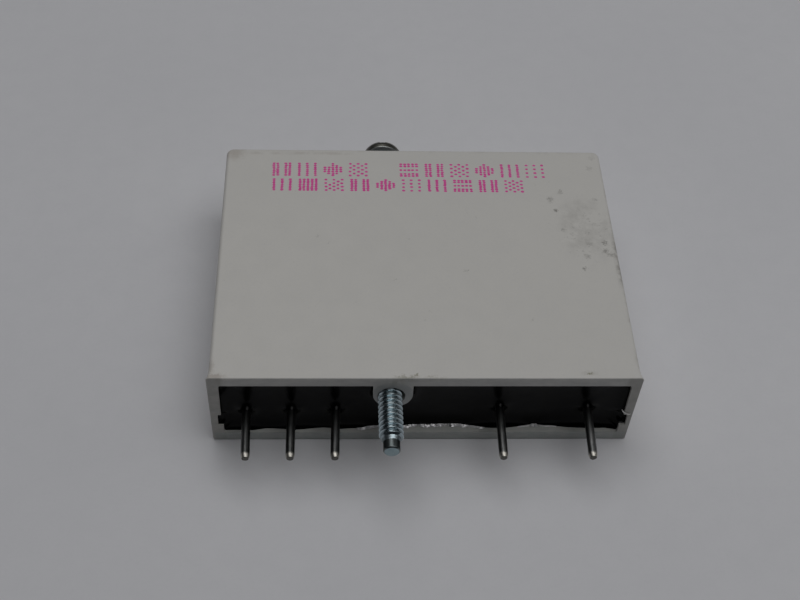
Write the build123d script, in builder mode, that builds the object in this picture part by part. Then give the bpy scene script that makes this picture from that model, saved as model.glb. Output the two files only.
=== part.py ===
from build123d import *
import os

# Solid state relay: a single-channel plug-in input module in a thin moulded case.
# It lies on one broad face. +Z is up through the thickness, -Y is the open pin side
# (the mouth) and +Y the closed end, where the head of the hold-down screw is.
# Millimetres. The origin is under the middle of the overall box, on the resting face.

# ---------------------------------------------------------------- driving dimensions
CASE_W = 48.3            # 1.90 in, across the body just behind the mouth
CASE_W_END = 47.8        # across the closed end
LIP_W = 48.94            # across the lip, where both side walls flare out, before its edge is rounded
LIP_L = 1.5              # length of the flare
CASE_H = 36.8            # 1.45 in, mouth to closed end
CASE_T = 11.8            # 0.465 in, broad face to broad face
WALL_BROAD = 1.4
WALL_END = 1.5
CORE_DRAFT = 0.15        # taper of the inner faces, mouth to closed end
# inner faces of the narrow walls at the mouth, as (left, right): the core sits a little
# to the right, so the left wall is the thicker one
ABOVE_SLOT = (-23.10, 23.25)
SLOT = (-23.50, 23.70)
BELOW_SLOT = (-22.90, 23.00)
CORNER_R = 0.95          # standing corners at the closed end
EDGE_R = 0.45            # long edges round the broad faces
RIM_R = 0.12             # outer lip of the mouth
CAVITY_R = 0.25          # long inner corners of the cavity

SLOT_Z0, SLOT_Z1 = 2.9, 4.9       # guide slots for the board in both narrow walls

SCREW_X, SCREW_Z = -3.96, 8.50    # axis of the hold-down screw and of its bore
BORE_X = -3.82           # the first part of the bore is cored a little to one side
BORE_FRONT = 3.2         # depth of that part
TUBE_X, TUBE_Z, TUBE_R = -3.64, 8.76, 2.25   # moulded tube, joined to the upper broad wall
BORE_R = 1.575           # bore for the thread and the ring
BORE_LAND_R = 1.475      # narrower bore behind the shoulder
SHOULDER = 14.0          # depth of the shoulder from the mouth

TIP = -7.5               # screw tip, in front of the mouth, at rest
DOG_R, DOG_L = 0.94, 1.6          # plain dog point
THREAD_R = 1.42          # #4-40 major radius, outside the case
THREAD_IN_R = 1.21       # the same thread at its pitch radius, inside the tube
THREAD_END = 4.7         # last turn of the thread, inside the tube
NECK_R = 1.00            # undercut that carries the retaining ring
NECK_END = 6.4
SHANK_R = 1.20
HEAD_GAP = 1.35          # bearing face of the head above the closed end, at rest
HEAD_R, HEAD_H = 2.50, 1.90
RING_Y0, RING_Y1 = 5.15, 5.95
RING_RO, RING_RI = 1.535, 1.04

PIN_R = 0.508            # 0.040 in round pins
PIN_L = 6.15             # beyond the mouth
POINT_L, POINT_R = 0.28, 0.40     # blunt tip: length of its taper, radius of its flat end
PIN_X = {                # 0.200, 0.200, 0.743 and 0.400 in apart
    "field_pin_1": 18.97,
    "field_pin_2": 8.81,
    "logic_pin_3": -10.05,
    "logic_pin_4": -15.13,
    "logic_pin_5": -20.21,
}
TAIL_W, TAIL_T, TAIL_END = 1.30, 0.70, 6.4   # coined solder tail on the board

BOARD_Z0, BOARD_T = 3.1, 1.6
BOARD_X0, BOARD_X1 = -23.25, 23.45
BOARD_Y0, BOARD_Y1 = 2.4, 34.2
HOLE_R = 0.40
RECESS = 1.7             # deepest level of the potting below the mouth

LED_X, LED_Z = 12.0, 7.5
LED_R, LED_HOLE_R, LED_FLANGE_R = 1.50, 1.55, 1.90
LED_PROUD = 0.4          # the dome stands this far out of the closed end

# ---------------------------------------------------------------- derived values
HEAD_TOP = CASE_H + HEAD_GAP + HEAD_H
MOUTH = -(TIP + HEAD_TOP) / 2        # puts the middle of the overall length on Y = 0
BOARD_TOP = BOARD_Z0 + BOARD_T
LEAD_END = 2.2                       # cut ends of the leads under the board


def y(depth):
    """Y of a point at this depth inside the mouth."""
    return MOUTH + depth


def across(depth, x=0.0, z=0.0):
    """Plane square to the screw at this depth: local x is X, local y is Z."""
    return Plane(origin=(x, y(depth), z), x_dir=(1, 0, 0), z_dir=(0, -1, 0))


def plan(z, x=0.0, depth=0.0):
    """Plane parallel to the broad faces at this height: local x is X, local y is Y."""
    return Plane(origin=(x, y(depth), z), x_dir=(1, 0, 0), z_dir=(0, 0, 1))


def flank(x, depth=0.0, z=0.0):
    """Plane square to X: local x is Y, local y is Z."""
    return Plane(origin=(x, y(depth), z), x_dir=(0, 1, 0), z_dir=(1, 0, 0))


def outline(left, right, draft, d0, d1):
    """Four corners of a drafted rectangle between two depths, in plan."""
    a, b = draft * d0 / CASE_H, draft * d1 / CASE_H
    return [(left + a, d0), (right - a, d0), (right - b, d1), (left + b, d1)]


# ---------------------------------------------------------------- case shell
# The cavity is made once and used twice: cut from the case, and as the potting's mould.
END_DEPTH = CASE_H - WALL_END
with BuildPart() as cavity:
    with BuildSketch(plan(SLOT_Z1)):
        Polygon(*outline(*ABOVE_SLOT, CORE_DRAFT, -1.0, END_DEPTH), align=None)
    extrude(amount=CASE_T - WALL_BROAD - SLOT_Z1)
    top = cavity.faces().sort_by(Axis.Z)[-1]
    fillet(top.edges().filter_by(lambda e: abs(e.tangent_at(0.5).Y) > 0.9), radius=CAVITY_R)
    with BuildSketch(plan(WALL_BROAD)):
        Polygon(*outline(*BELOW_SLOT, CORE_DRAFT, -1.0, END_DEPTH), align=None)
    extrude(amount=SLOT_Z1 - WALL_BROAD)
    low = cavity.faces().sort_by(Axis.Z)[0]
    fillet(low.edges().filter_by(lambda e: abs(e.tangent_at(0.5).Y) > 0.9), radius=CAVITY_R)
    with BuildSketch(plan(SLOT_Z0)):
        Polygon(*outline(*SLOT, CORE_DRAFT, -1.0, BOARD_Y1 + 0.1), align=None)
    extrude(amount=SLOT_Z1 - SLOT_Z0)

# The tube hangs from the upper broad wall in a U section, from the mouth to the closed end.
with BuildPart() as tube:
    with BuildSketch(across(0.0)):
        with Locations((TUBE_X, TUBE_Z)):
            Circle(TUBE_R)
        with Locations((TUBE_X, TUBE_Z)):
            Rectangle(2 * TUBE_R, CASE_T - WALL_BROAD - TUBE_Z + 0.3, align=(Align.CENTER, Align.MIN))
    extrude(amount=-(CASE_H - WALL_END + 0.2))

with BuildPart() as case_shell:
    with BuildSketch(plan(0.0)):
        with BuildLine():
            body, lip, end = CASE_W / 2, LIP_W / 2, CASE_W_END / 2
            run = (body - end, LIP_L - CASE_H)
            Line((-end, CASE_H), (end, CASE_H))
            Line((end, CASE_H), (body, LIP_L))
            TangentArc((body, LIP_L), (lip, 0.0), tangent=run)
            Line((lip, 0.0), (-lip, 0.0))
            TangentArc((-body, LIP_L), (-lip, 0.0), tangent=(-run[0], run[1]))
            Line((-body, LIP_L), (-end, CASE_H))
        make_face()
    extrude(amount=CASE_T)
    fillet(case_shell.edges().filter_by(Axis.Z).group_by(Axis.Y)[-1], radius=CORNER_R)
    broad = case_shell.faces().filter_by(Axis.Z)
    fillet(
        broad.edges().filter_by(lambda e: e.center().Y > y(0.01)),
        radius=EDGE_R,
    )
    fillet(case_shell.faces().sort_by(Axis.Y)[0].edges(), radius=RIM_R)
    add(cavity.part, mode=Mode.SUBTRACT)
    add(tube.part)
    # bore for the screw, with the shoulder that stops the ring
    with BuildSketch(across(-1.0)):
        with Locations((BORE_X, SCREW_Z)):
            Circle(BORE_R)
    extrude(amount=-(BORE_FRONT + 1.0), mode=Mode.SUBTRACT)
    with BuildSketch(across(BORE_FRONT - 0.2)):
        with Locations((SCREW_X, SCREW_Z)):
            Circle(BORE_R)
    extrude(amount=-(SHOULDER - BORE_FRONT + 0.2), mode=Mode.SUBTRACT)
    with BuildSketch(across(SHOULDER - 0.5)):
        with Locations((SCREW_X, SCREW_Z)):
            Circle(BORE_LAND_R)
    extrude(amount=-(CASE_H - SHOULDER + 1.5), mode=Mode.SUBTRACT)
    # window for the indicator lamp
    with BuildSketch(across(CASE_H - WALL_END - 1.0)):
        with Locations((LED_X, LED_Z)):
            Circle(LED_HOLE_R)
    extrude(amount=-(WALL_END + 2.0), mode=Mode.SUBTRACT)

# ---------------------------------------------------------------- pins
# Round outside, flattened behind the potting's surface into a tail lapped on the board.
PIN_Z = BOARD_TOP + PIN_R
pins = {}
for pin_name, px in PIN_X.items():
    with BuildPart() as pin:
        with BuildSketch(across(-PIN_L)):
            with Locations((px, PIN_Z)):
                Circle(PIN_R)
        extrude(amount=-(PIN_L + RECESS))
        tip_face = pin.faces().sort_by(Axis.Y)[0]
        chamfer(tip_face.edges(), length=PIN_R - POINT_R, length2=POINT_L, reference=tip_face)
        with BuildSketch(across(RECESS)):
            with Locations((px, BOARD_TOP)):
                Rectangle(TAIL_W, TAIL_T, align=(Align.CENTER, Align.MIN))
        extrude(amount=-(TAIL_END - RECESS))
        chamfer(
            pin.faces().sort_by(Axis.Y)[-1].edges().sort_by(Axis.Z)[-1],
            length=0.3,
        )
    pin.part.label = pin_name
    pins[pin_name] = pin

# ---------------------------------------------------------------- hold-down screw
# One turned profile: dog point, thread at its major diameter, the rest of the thread,
# undercut, plain shank and a pan head.
with BuildPart() as hold_down_screw:
    with BuildSketch(Plane(origin=(SCREW_X, y(0), SCREW_Z), x_dir=(1, 0, 0), z_dir=(0, 0, 1))):
        with BuildLine():
            head0 = CASE_H + HEAD_GAP
            Polyline(
                (0, TIP),
                (DOG_R - 0.2, TIP),
                (DOG_R, TIP + 0.2),
                (DOG_R, TIP + DOG_L - 0.3),
                (THREAD_R, TIP + DOG_L),
                (THREAD_R, -0.45),
                (THREAD_IN_R, -0.45 + (THREAD_R - THREAD_IN_R)),
                (THREAD_IN_R, THREAD_END),
                (NECK_R, THREAD_END),
                (NECK_R, NECK_END),
                (SHANK_R, NECK_END),
                (SHANK_R, head0),
                (HEAD_R - 0.15, head0),
                (HEAD_R, head0 + 0.15),
                (HEAD_R, head0 + 0.62),
            )
            ThreePointArc(
                (HEAD_R, head0 + 0.62),
                (HEAD_R * 0.80, head0 + 0.62 + 0.84),
                (HEAD_R * 0.36, head0 + HEAD_H),
            )
            Polyline((HEAD_R * 0.36, head0 + HEAD_H), (0, head0 + HEAD_H), (0, TIP))
        make_face()
    revolve(axis=Axis((SCREW_X, y(0), SCREW_Z), (0, 1, 0)))
    # driving slot across the head
    with BuildSketch(across(head0 + HEAD_H + 0.5)):
        with Locations((SCREW_X, SCREW_Z)):
            Rectangle(0.75, 2 * HEAD_R + 1.0)
    extrude(amount=0.5 + 0.95, mode=Mode.SUBTRACT)
hold_down_screw.part.label = "hold_down_screw"

# Nylon ring in the undercut. It slides in the bore with the screw and stops at the shoulder.
with BuildPart() as screw_retaining_ring:
    with BuildSketch(across(RING_Y0)):
        with Locations((SCREW_X, SCREW_Z)):
            Circle(RING_RO)
            Circle(RING_RI, mode=Mode.SUBTRACT)
    extrude(amount=-(RING_Y1 - RING_Y0))
screw_retaining_ring.part.label = "screw_retaining_ring"

# ---------------------------------------------------------------- circuit board, blank
BOARD_LEN = BOARD_Y1 - BOARD_Y0
with BuildPart() as board_blank:
    with BuildSketch(plan(BOARD_Z0)):
        with Locations(((BOARD_X0 + BOARD_X1) / 2, BOARD_Y0 + BOARD_LEN / 2)):
            Rectangle(BOARD_X1 - BOARD_X0, BOARD_LEN)
    extrude(amount=BOARD_T)

lead_holes = []          # (x, depth) of every lead through the board


def flat_lead(c, depth, side, shoulder_z, body_half, row):
    """Side view of one flat lead: out of the body, then down through the board."""
    x_in, x_out = c + side * body_half, c + side * row
    t = 0.25
    return [
        (x_in, shoulder_z),
        (x_out + side * t / 2, shoulder_z),
        (x_out + side * t / 2, LEAD_END),
        (x_out - side * t / 2, LEAD_END),
        (x_out - side * t / 2, shoulder_z - t),
        (x_in, shoulder_z - t),
    ]


# ---------------------------------------------------------------- optocoupler
OPTO_X, OPTO_Y = 3.3, 20.0
OPTO_W, OPTO_L, OPTO_H = 6.35, 8.6, 3.3
OPTO_Z = BOARD_TOP + 0.5
with BuildPart() as optocoupler_body:
    with BuildSketch(plan(OPTO_Z, OPTO_X, OPTO_Y)):
        Rectangle(OPTO_W - 0.5, OPTO_L - 0.5)
    with BuildSketch(plan(OPTO_Z + OPTO_H / 2, OPTO_X, OPTO_Y)):
        Rectangle(OPTO_W, OPTO_L)
    loft()
    with BuildSketch(plan(OPTO_Z + OPTO_H / 2, OPTO_X, OPTO_Y)):
        Rectangle(OPTO_W, OPTO_L)
    with BuildSketch(plan(OPTO_Z + OPTO_H, OPTO_X, OPTO_Y)):
        Rectangle(OPTO_W - 0.5, OPTO_L - 0.5)
    loft()
    # orientation notch
    with BuildSketch(plan(OPTO_Z + OPTO_H, OPTO_X, OPTO_Y - OPTO_L / 2 + 0.25)):
        Circle(0.75)
    extrude(amount=-0.4, mode=Mode.SUBTRACT)
optocoupler_body.part.label = "optocoupler_body"

OPTO_MID = OPTO_Z + OPTO_H / 2 + 0.125
with BuildPart() as optocoupler_leads:
    for dy in (-2.54, 0.0, 2.54):
        for side in (-1, 1):
            pts = flat_lead(OPTO_X, OPTO_Y + dy, side, OPTO_MID, OPTO_W / 2 - 0.02, 3.81)
            with BuildSketch(across(OPTO_Y + dy - 0.25)):
                Polygon(*pts, align=None)
            extrude(amount=-0.5)
            with BuildSketch(across(OPTO_Y + dy - 0.6)):
                Polygon(
                    *[
                        (px, max(pz, BOARD_TOP + 0.35)) for px, pz in pts
                    ],
                    align=None,
                )
            extrude(amount=-1.2)
            lead_holes.append((OPTO_X + side * 3.81, OPTO_Y + dy))
    add(optocoupler_body.part, mode=Mode.SUBTRACT)
optocoupler_leads.part.label = "optocoupler_leads"

# ---------------------------------------------------------------- bridge rectifier
BR_X, BR_Y = 17.6, 13.6
BR_W, BR_L, BR_H = 6.4, 8.3, 3.2
BR_Z = BOARD_TOP + 0.5
with BuildPart() as bridge_rectifier_body:
    with BuildSketch(plan(BR_Z, BR_X, BR_Y)):
        Rectangle(BR_W - 0.4, BR_L - 0.4)
    with BuildSketch(plan(BR_Z + BR_H / 2, BR_X, BR_Y)):
        Rectangle(BR_W, BR_L)
    loft()
    with BuildSketch(plan(BR_Z + BR_H / 2, BR_X, BR_Y)):
        Rectangle(BR_W, BR_L)
    with BuildSketch(plan(BR_Z + BR_H, BR_X, BR_Y)):
        Rectangle(BR_W - 0.4, BR_L - 0.4)
    loft()
    # bevel on one corner marks the positive lead
    chamfer(
        bridge_rectifier_body.faces().sort_by(Axis.Z)[-1].edges().sort_by(Axis.Y)[-1],
        length=0.5,
    )
bridge_rectifier_body.part.label = "bridge_rectifier_body"

BR_MID = BR_Z + BR_H / 2 + 0.125
with BuildPart() as bridge_rectifier_leads:
    for dy in (-2.54, 2.54):
        for side in (-1, 1):
            pts = flat_lead(BR_X, BR_Y + dy, side, BR_MID, BR_W / 2 - 0.02, 3.81)
            with BuildSketch(across(BR_Y + dy - 0.25)):
                Polygon(*pts, align=None)
            extrude(amount=-0.5)
            with BuildSketch(across(BR_Y + dy - 0.55)):
                Polygon(*[(px, max(pz, BOARD_TOP + 0.35)) for px, pz in pts], align=None)
            extrude(amount=-1.1)
            lead_holes.append((BR_X + side * 3.81, BR_Y + dy))
    add(bridge_rectifier_body.part, mode=Mode.SUBTRACT)
bridge_rectifier_leads.part.label = "bridge_rectifier_leads"

# ---------------------------------------------------------------- axial components
AXIAL_LEAD_R = 0.28


def axial_points(length, pitch, z):
    """Bent wire of an axial part, centred, in its own upright plane."""
    return [
        (length / 2 - 0.02, z),
        (pitch / 2, z),
        (pitch / 2, LEAD_END),
    ]


# Input resistor, across the board.
RIN_X, RIN_Y, RIN_L, RIN_R, RIN_PITCH = 16.1, 21.4, 6.3, 1.2, 10.16
RIN_Z = BOARD_TOP + RIN_R + 0.05
with BuildPart() as input_resistor_body:
    with BuildSketch(plan(RIN_Z, RIN_X, RIN_Y)):
        with BuildLine():
            Polyline(
                (-RIN_L / 2, 0), (-RIN_L / 2, RIN_R - 0.35), (-RIN_L / 2 + 0.35, RIN_R),
                (-RIN_L / 2 + 1.35, RIN_R), (-RIN_L / 2 + 1.65, RIN_R - 0.16),
                (RIN_L / 2 - 1.65, RIN_R - 0.16), (RIN_L / 2 - 1.35, RIN_R),
                (RIN_L / 2 - 0.35, RIN_R), (RIN_L / 2, RIN_R - 0.35), (RIN_L / 2, 0),
                close=True,
            )
        make_face()
    revolve(axis=Axis((RIN_X, y(RIN_Y), RIN_Z), (1, 0, 0)))
input_resistor_body.part.label = "input_resistor_body"
with BuildPart() as input_resistor_leads:
    for side in (-1, 1):
        with BuildLine():
            FilletPolyline(
                *[(RIN_X + side * a, y(RIN_Y), b) for a, b in axial_points(RIN_L, RIN_PITCH, RIN_Z)],
                radius=0.7,
            )
        with BuildSketch(flank(RIN_X + side * (RIN_L / 2 - 0.02), RIN_Y, RIN_Z)):
            Circle(AXIAL_LEAD_R)
        sweep()
        lead_holes.append((RIN_X + side * RIN_PITCH / 2, RIN_Y))
    add(input_resistor_body.part, mode=Mode.SUBTRACT)
input_resistor_leads.part.label = "input_resistor_leads"

# Zener diode, across the board.
ZD_X, ZD_Y, ZD_L, ZD_R, ZD_PITCH = 16.1, 25.6, 3.9, 0.95, 7.62
ZD_Z = BOARD_TOP + ZD_R + 0.05
with BuildPart() as zener_diode_body:
    with BuildSketch(flank(ZD_X - ZD_L / 2, ZD_Y, ZD_Z)):
        Circle(ZD_R)
    extrude(amount=ZD_L)
    fillet(zener_diode_body.edges(), radius=0.35)
zener_diode_body.part.label = "zener_diode_body"
with BuildPart() as zener_diode_leads:
    for side in (-1, 1):
        with BuildLine():
            FilletPolyline(
                *[(ZD_X + side * a, y(ZD_Y), b) for a, b in axial_points(ZD_L, ZD_PITCH, ZD_Z)],
                radius=0.6,
            )
        with BuildSketch(flank(ZD_X + side * (ZD_L / 2 - 0.02), ZD_Y, ZD_Z)):
            Circle(0.25)
        sweep()
        lead_holes.append((ZD_X + side * ZD_PITCH / 2, ZD_Y))
    add(zener_diode_body.part, mode=Mode.SUBTRACT)
zener_diode_leads.part.label = "zener_diode_leads"

# Two logic-side resistors, along the board.
RL_X, RL_Y, RL_L, RL_R, RL_PITCH = (-17.8, -21.2), 17.0, 6.0, 1.1, 10.16
RL_Z = BOARD_TOP + RL_R + 0.05
with BuildPart() as logic_resistor_bodies:
    for rx in RL_X:
        with BuildSketch(Plane(origin=(rx, y(RL_Y), RL_Z), x_dir=(0, 1, 0), z_dir=(0, 0, 1))):
            with BuildLine():
                Polyline(
                    (-RL_L / 2, 0), (-RL_L / 2, RL_R - 0.3), (-RL_L / 2 + 0.3, RL_R),
                    (-RL_L / 2 + 1.25, RL_R), (-RL_L / 2 + 1.5, RL_R - 0.14),
                    (RL_L / 2 - 1.5, RL_R - 0.14), (RL_L / 2 - 1.25, RL_R),
                    (RL_L / 2 - 0.3, RL_R), (RL_L / 2, RL_R - 0.3), (RL_L / 2, 0),
                    close=True,
                )
            make_face()
        revolve(axis=Axis((rx, y(RL_Y), RL_Z), (0, 1, 0)))
logic_resistor_bodies.part.label = "logic_resistor_bodies"
with BuildPart() as logic_resistor_leads:
    for rx in RL_X:
        for side in (-1, 1):
            with BuildLine():
                FilletPolyline(
                    *[(rx, y(RL_Y + side * a), b) for a, b in axial_points(RL_L, RL_PITCH, RL_Z)],
                    radius=0.7,
                )
            with BuildSketch(across(RL_Y + side * (RL_L / 2 - 0.02), rx, RL_Z)):
                Circle(AXIAL_LEAD_R)
            sweep()
            lead_holes.append((rx, RL_Y + side * RL_PITCH / 2))
    add(logic_resistor_bodies.part, mode=Mode.SUBTRACT)
logic_resistor_leads.part.label = "logic_resistor_leads"

# ---------------------------------------------------------------- filter capacitor, lying down
CAP_X, CAP_Y0, CAP_L, CAP_R = 9.9, 9.6, 7.6, 2.5
CAP_Z = BOARD_TOP + CAP_R + 0.1
with BuildPart() as filter_capacitor_can:
    with BuildSketch(Plane(origin=(CAP_X, y(CAP_Y0), CAP_Z), x_dir=(1, 0, 0), z_dir=(0, 0, 1))):
        with BuildLine():
            Polyline(
                (0, 0), (CAP_R - 0.3, 0), (CAP_R, 0.3), (CAP_R, 0.9), (CAP_R - 0.3, 1.2),
                (CAP_R - 0.3, 1.5), (CAP_R, 1.8), (CAP_R, CAP_L - 0.3), (CAP_R - 0.3, CAP_L),
                (0, CAP_L), close=True,
            )
        make_face()
    revolve(axis=Axis((CAP_X, y(CAP_Y0), CAP_Z), (0, 1, 0)))
filter_capacitor_can.part.label = "filter_capacitor_can"
with BuildPart() as filter_capacitor_leads:
    for side in (-1, 1):
        with BuildLine():
            FilletPolyline(
                (CAP_X + side * 1.0, y(CAP_Y0), CAP_Z),
                (CAP_X + side * 1.0, y(CAP_Y0 - 1.5), CAP_Z),
                (CAP_X + side * 1.0, y(CAP_Y0 - 1.5), LEAD_END),
                radius=0.6,
            )
        with BuildSketch(across(CAP_Y0, CAP_X + side * 1.0, CAP_Z)):
            Circle(0.25)
        sweep()
        lead_holes.append((CAP_X + side * 1.0, CAP_Y0 - 1.5))
filter_capacitor_leads.part.label = "filter_capacitor_leads"

# ---------------------------------------------------------------- output transistor, lying down
TR_X, TR_Y, TR_W, TR_L, TR_T = -12.3, 12.6, 4.6, 4.6, 3.5
with BuildPart() as output_transistor_body:
    with BuildSketch(across(TR_Y, TR_X, BOARD_TOP + 0.05)):
        with Locations((0, 1.25)):
            Circle(TR_W / 2)
        with Locations((0, 0)):
            Rectangle(TR_W + 1.0, TR_T, align=(Align.CENTER, Align.MIN), mode=Mode.INTERSECT)
    extrude(amount=-TR_L)
output_transistor_body.part.label = "output_transistor_body"
TR_LEAD_Z = BOARD_TOP + 0.05 + 1.2
with BuildPart() as output_transistor_leads:
    for dx in (-1.6, 0.0, 1.6):
        with BuildLine():
            FilletPolyline(
                (TR_X + dx, y(TR_Y), TR_LEAD_Z),
                (TR_X + dx, y(TR_Y - 2.2), TR_LEAD_Z),
                (TR_X + dx, y(TR_Y - 2.2), LEAD_END),
                radius=0.6,
            )
        with BuildSketch(across(TR_Y, TR_X + dx, TR_LEAD_Z)):
            Rectangle(0.42, 0.38)
        sweep()
        lead_holes.append((TR_X + dx, TR_Y - 2.2))
output_transistor_leads.part.label = "output_transistor_leads"

# ---------------------------------------------------------------- ceramic disc capacitor, standing
DC_X, DC_Y, DC_R, DC_T = -13.0, 25.0, 2.2, 2.0
DC_Z = BOARD_TOP + 0.9 + DC_R
with BuildPart() as disc_capacitor_body:
    with BuildSketch(across(DC_Y - DC_T / 2, DC_X, DC_Z)):
        Circle(DC_R)
    extrude(amount=-DC_T)
    fillet(disc_capacitor_body.edges(), radius=0.7)
disc_capacitor_body.part.label = "disc_capacitor_body"
with BuildPart() as disc_capacitor_leads:
    for side in (-1, 1):
        with BuildSketch(plan(DC_Z - 1.0, DC_X + side * 1.27, DC_Y)):
            Circle(0.25)
        extrude(amount=LEAD_END - (DC_Z - 1.0))
        lead_holes.append((DC_X + side * 1.27, DC_Y))
    add(disc_capacitor_body.part, mode=Mode.SUBTRACT)
disc_capacitor_leads.part.label = "disc_capacitor_leads"

# ---------------------------------------------------------------- indicator lamp
LED_BACK = CASE_H - WALL_END - 1.0
with BuildPart() as status_led_lens:
    with BuildSketch(Plane(origin=(LED_X, y(0), LED_Z), x_dir=(1, 0, 0), z_dir=(0, 0, 1))):
        with BuildLine():
            Polyline(
                (0, LED_BACK - 0.6), (LED_R, LED_BACK - 0.6), (LED_R, LED_BACK),
                (LED_FLANGE_R, LED_BACK), (LED_FLANGE_R, CASE_H - WALL_END),
                (LED_R, CASE_H - WALL_END), (LED_R, CASE_H + LED_PROUD - LED_R),
            )
            ThreePointArc(
                (LED_R, CASE_H + LED_PROUD - LED_R),
                (LED_R * 0.5 ** 0.5, CASE_H + LED_PROUD - LED_R + LED_R * 0.5 ** 0.5),
                (0, CASE_H + LED_PROUD),
            )
            Line((0, CASE_H + LED_PROUD), (0, LED_BACK - 0.6))
        make_face()
    revolve(axis=Axis((LED_X, y(0), LED_Z), (0, 1, 0)))
status_led_lens.part.label = "status_led_lens"
with BuildPart() as status_led_leads:
    for side in (-1, 1):
        with BuildLine():
            FilletPolyline(
                (LED_X + side * 1.27, y(LED_BACK - 0.6), LED_Z),
                (LED_X + side * 1.27, y(LED_BACK - 2.7), LED_Z),
                (LED_X + side * 1.27, y(LED_BACK - 2.7), LEAD_END),
                radius=0.7,
            )
        with BuildSketch(across(LED_BACK - 0.6, LED_X + side * 1.27, LED_Z)):
            Rectangle(0.45, 0.45)
        sweep()
        lead_holes.append((LED_X + side * 1.27, LED_BACK - 2.7))
    add(status_led_lens.part, mode=Mode.SUBTRACT)
status_led_leads.part.label = "status_led_leads"

# ---------------------------------------------------------------- solder
all_leads = [
    optocoupler_leads, bridge_rectifier_leads, input_resistor_leads, zener_diode_leads,
    logic_resistor_leads, filter_capacitor_leads, output_transistor_leads,
    disc_capacitor_leads, status_led_leads,
]
with BuildPart() as solder_joints:
    # a barrel in each hole and a fillet under the board
    for hx, hd in lead_holes:
        with BuildSketch(Plane(origin=(hx, y(hd), 0), x_dir=(1, 0, 0), z_dir=(0, -1, 0))):
            Polygon(
                (0, BOARD_TOP), (HOLE_R, BOARD_TOP), (HOLE_R, BOARD_Z0), (0.72, BOARD_Z0),
                (0.48, BOARD_Z0 - 0.25), (0.38, BOARD_Z0 - 0.65), (0, BOARD_Z0 - 0.65),
                align=None,
            )
        revolve(axis=Axis((hx, y(hd), 0), (0, 0, 1)))
    # a low fillet along both sides of each pin's tail
    for px in PIN_X.values():
        with BuildSketch(across(BOARD_Y0 + 0.5)):
            Polygon(
                (px - 1.15, BOARD_TOP), (px + 1.15, BOARD_TOP),
                (px + 0.65, BOARD_TOP + 0.5), (px - 0.65, BOARD_TOP + 0.5),
                align=None,
            )
        extrude(amount=-(TAIL_END - BOARD_Y0 - 0.8))
    for leads in all_leads:
        add(leads.part, mode=Mode.SUBTRACT)
    for pin in pins.values():
        add(pin.part, mode=Mode.SUBTRACT)
solder_joints.part.label = "solder_joints"

with BuildPart() as circuit_board:
    add(board_blank.part)
    for hx, hd in lead_holes:
        with BuildSketch(plan(BOARD_Z0 - 0.5, hx, hd)):
            Circle(HOLE_R)
        extrude(amount=BOARD_T + 1.0, mode=Mode.SUBTRACT)
circuit_board.part.label = "circuit_board"

# ---------------------------------------------------------------- potting compound
# It fills the cavity and the free part of the slots, round everything inside.
inside = [
    optocoupler_body, bridge_rectifier_body, input_resistor_body, zener_diode_body,
    logic_resistor_bodies, filter_capacitor_can, output_transistor_body,
    disc_capacitor_body, status_led_lens, solder_joints,
]
with BuildPart() as potting_compound:
    add(cavity.part)
    with BuildSketch(across(RECESS)):
        Rectangle(CASE_W + 10, 3 * CASE_T)
    extrude(amount=RECESS + 5.0, mode=Mode.SUBTRACT)
    add(tube.part, mode=Mode.SUBTRACT)
    add(board_blank.part, mode=Mode.SUBTRACT)
    for pin in pins.values():
        add(pin.part, mode=Mode.SUBTRACT)
    for piece in inside + all_leads:
        add(piece.part, mode=Mode.SUBTRACT)
potting_compound.part.label = "potting_compound"
case_shell.part.label = "case_shell"

# ---------------------------------------------------------------- files
os.makedirs("parts", exist_ok=True)
export_step(case_shell.part, "parts/case_shell.step")
export_step(potting_compound.part, "parts/potting_compound.step")
export_step(circuit_board.part, "parts/circuit_board.step")
for pin_name, pin in pins.items():
    export_step(pin.part, f"parts/{pin_name}.step")
export_step(hold_down_screw.part, "parts/hold_down_screw.step")
export_step(screw_retaining_ring.part, "parts/screw_retaining_ring.step")
export_step(optocoupler_body.part, "parts/optocoupler_body.step")
export_step(optocoupler_leads.part, "parts/optocoupler_leads.step")
export_step(bridge_rectifier_body.part, "parts/bridge_rectifier_body.step")
export_step(bridge_rectifier_leads.part, "parts/bridge_rectifier_leads.step")
export_step(input_resistor_body.part, "parts/input_resistor_body.step")
export_step(input_resistor_leads.part, "parts/input_resistor_leads.step")
export_step(zener_diode_body.part, "parts/zener_diode_body.step")
export_step(zener_diode_leads.part, "parts/zener_diode_leads.step")
export_step(logic_resistor_bodies.part, "parts/logic_resistor_bodies.step")
export_step(logic_resistor_leads.part, "parts/logic_resistor_leads.step")
export_step(filter_capacitor_can.part, "parts/filter_capacitor_can.step")
export_step(filter_capacitor_leads.part, "parts/filter_capacitor_leads.step")
export_step(output_transistor_body.part, "parts/output_transistor_body.step")
export_step(output_transistor_leads.part, "parts/output_transistor_leads.step")
export_step(disc_capacitor_body.part, "parts/disc_capacitor_body.step")
export_step(disc_capacitor_leads.part, "parts/disc_capacitor_leads.step")
export_step(status_led_lens.part, "parts/status_led_lens.step")
export_step(status_led_leads.part, "parts/status_led_leads.step")
export_step(solder_joints.part, "parts/solder_joints.step")

print("mouth plane at y =", round(MOUTH, 4), " overall length", round(HEAD_TOP - TIP, 3))
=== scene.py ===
import math

import bmesh
import bpy
import numpy as np
from mathutils import Matrix, Vector, noise
from mathutils.geometry import delaunay_2d_cdt


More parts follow.
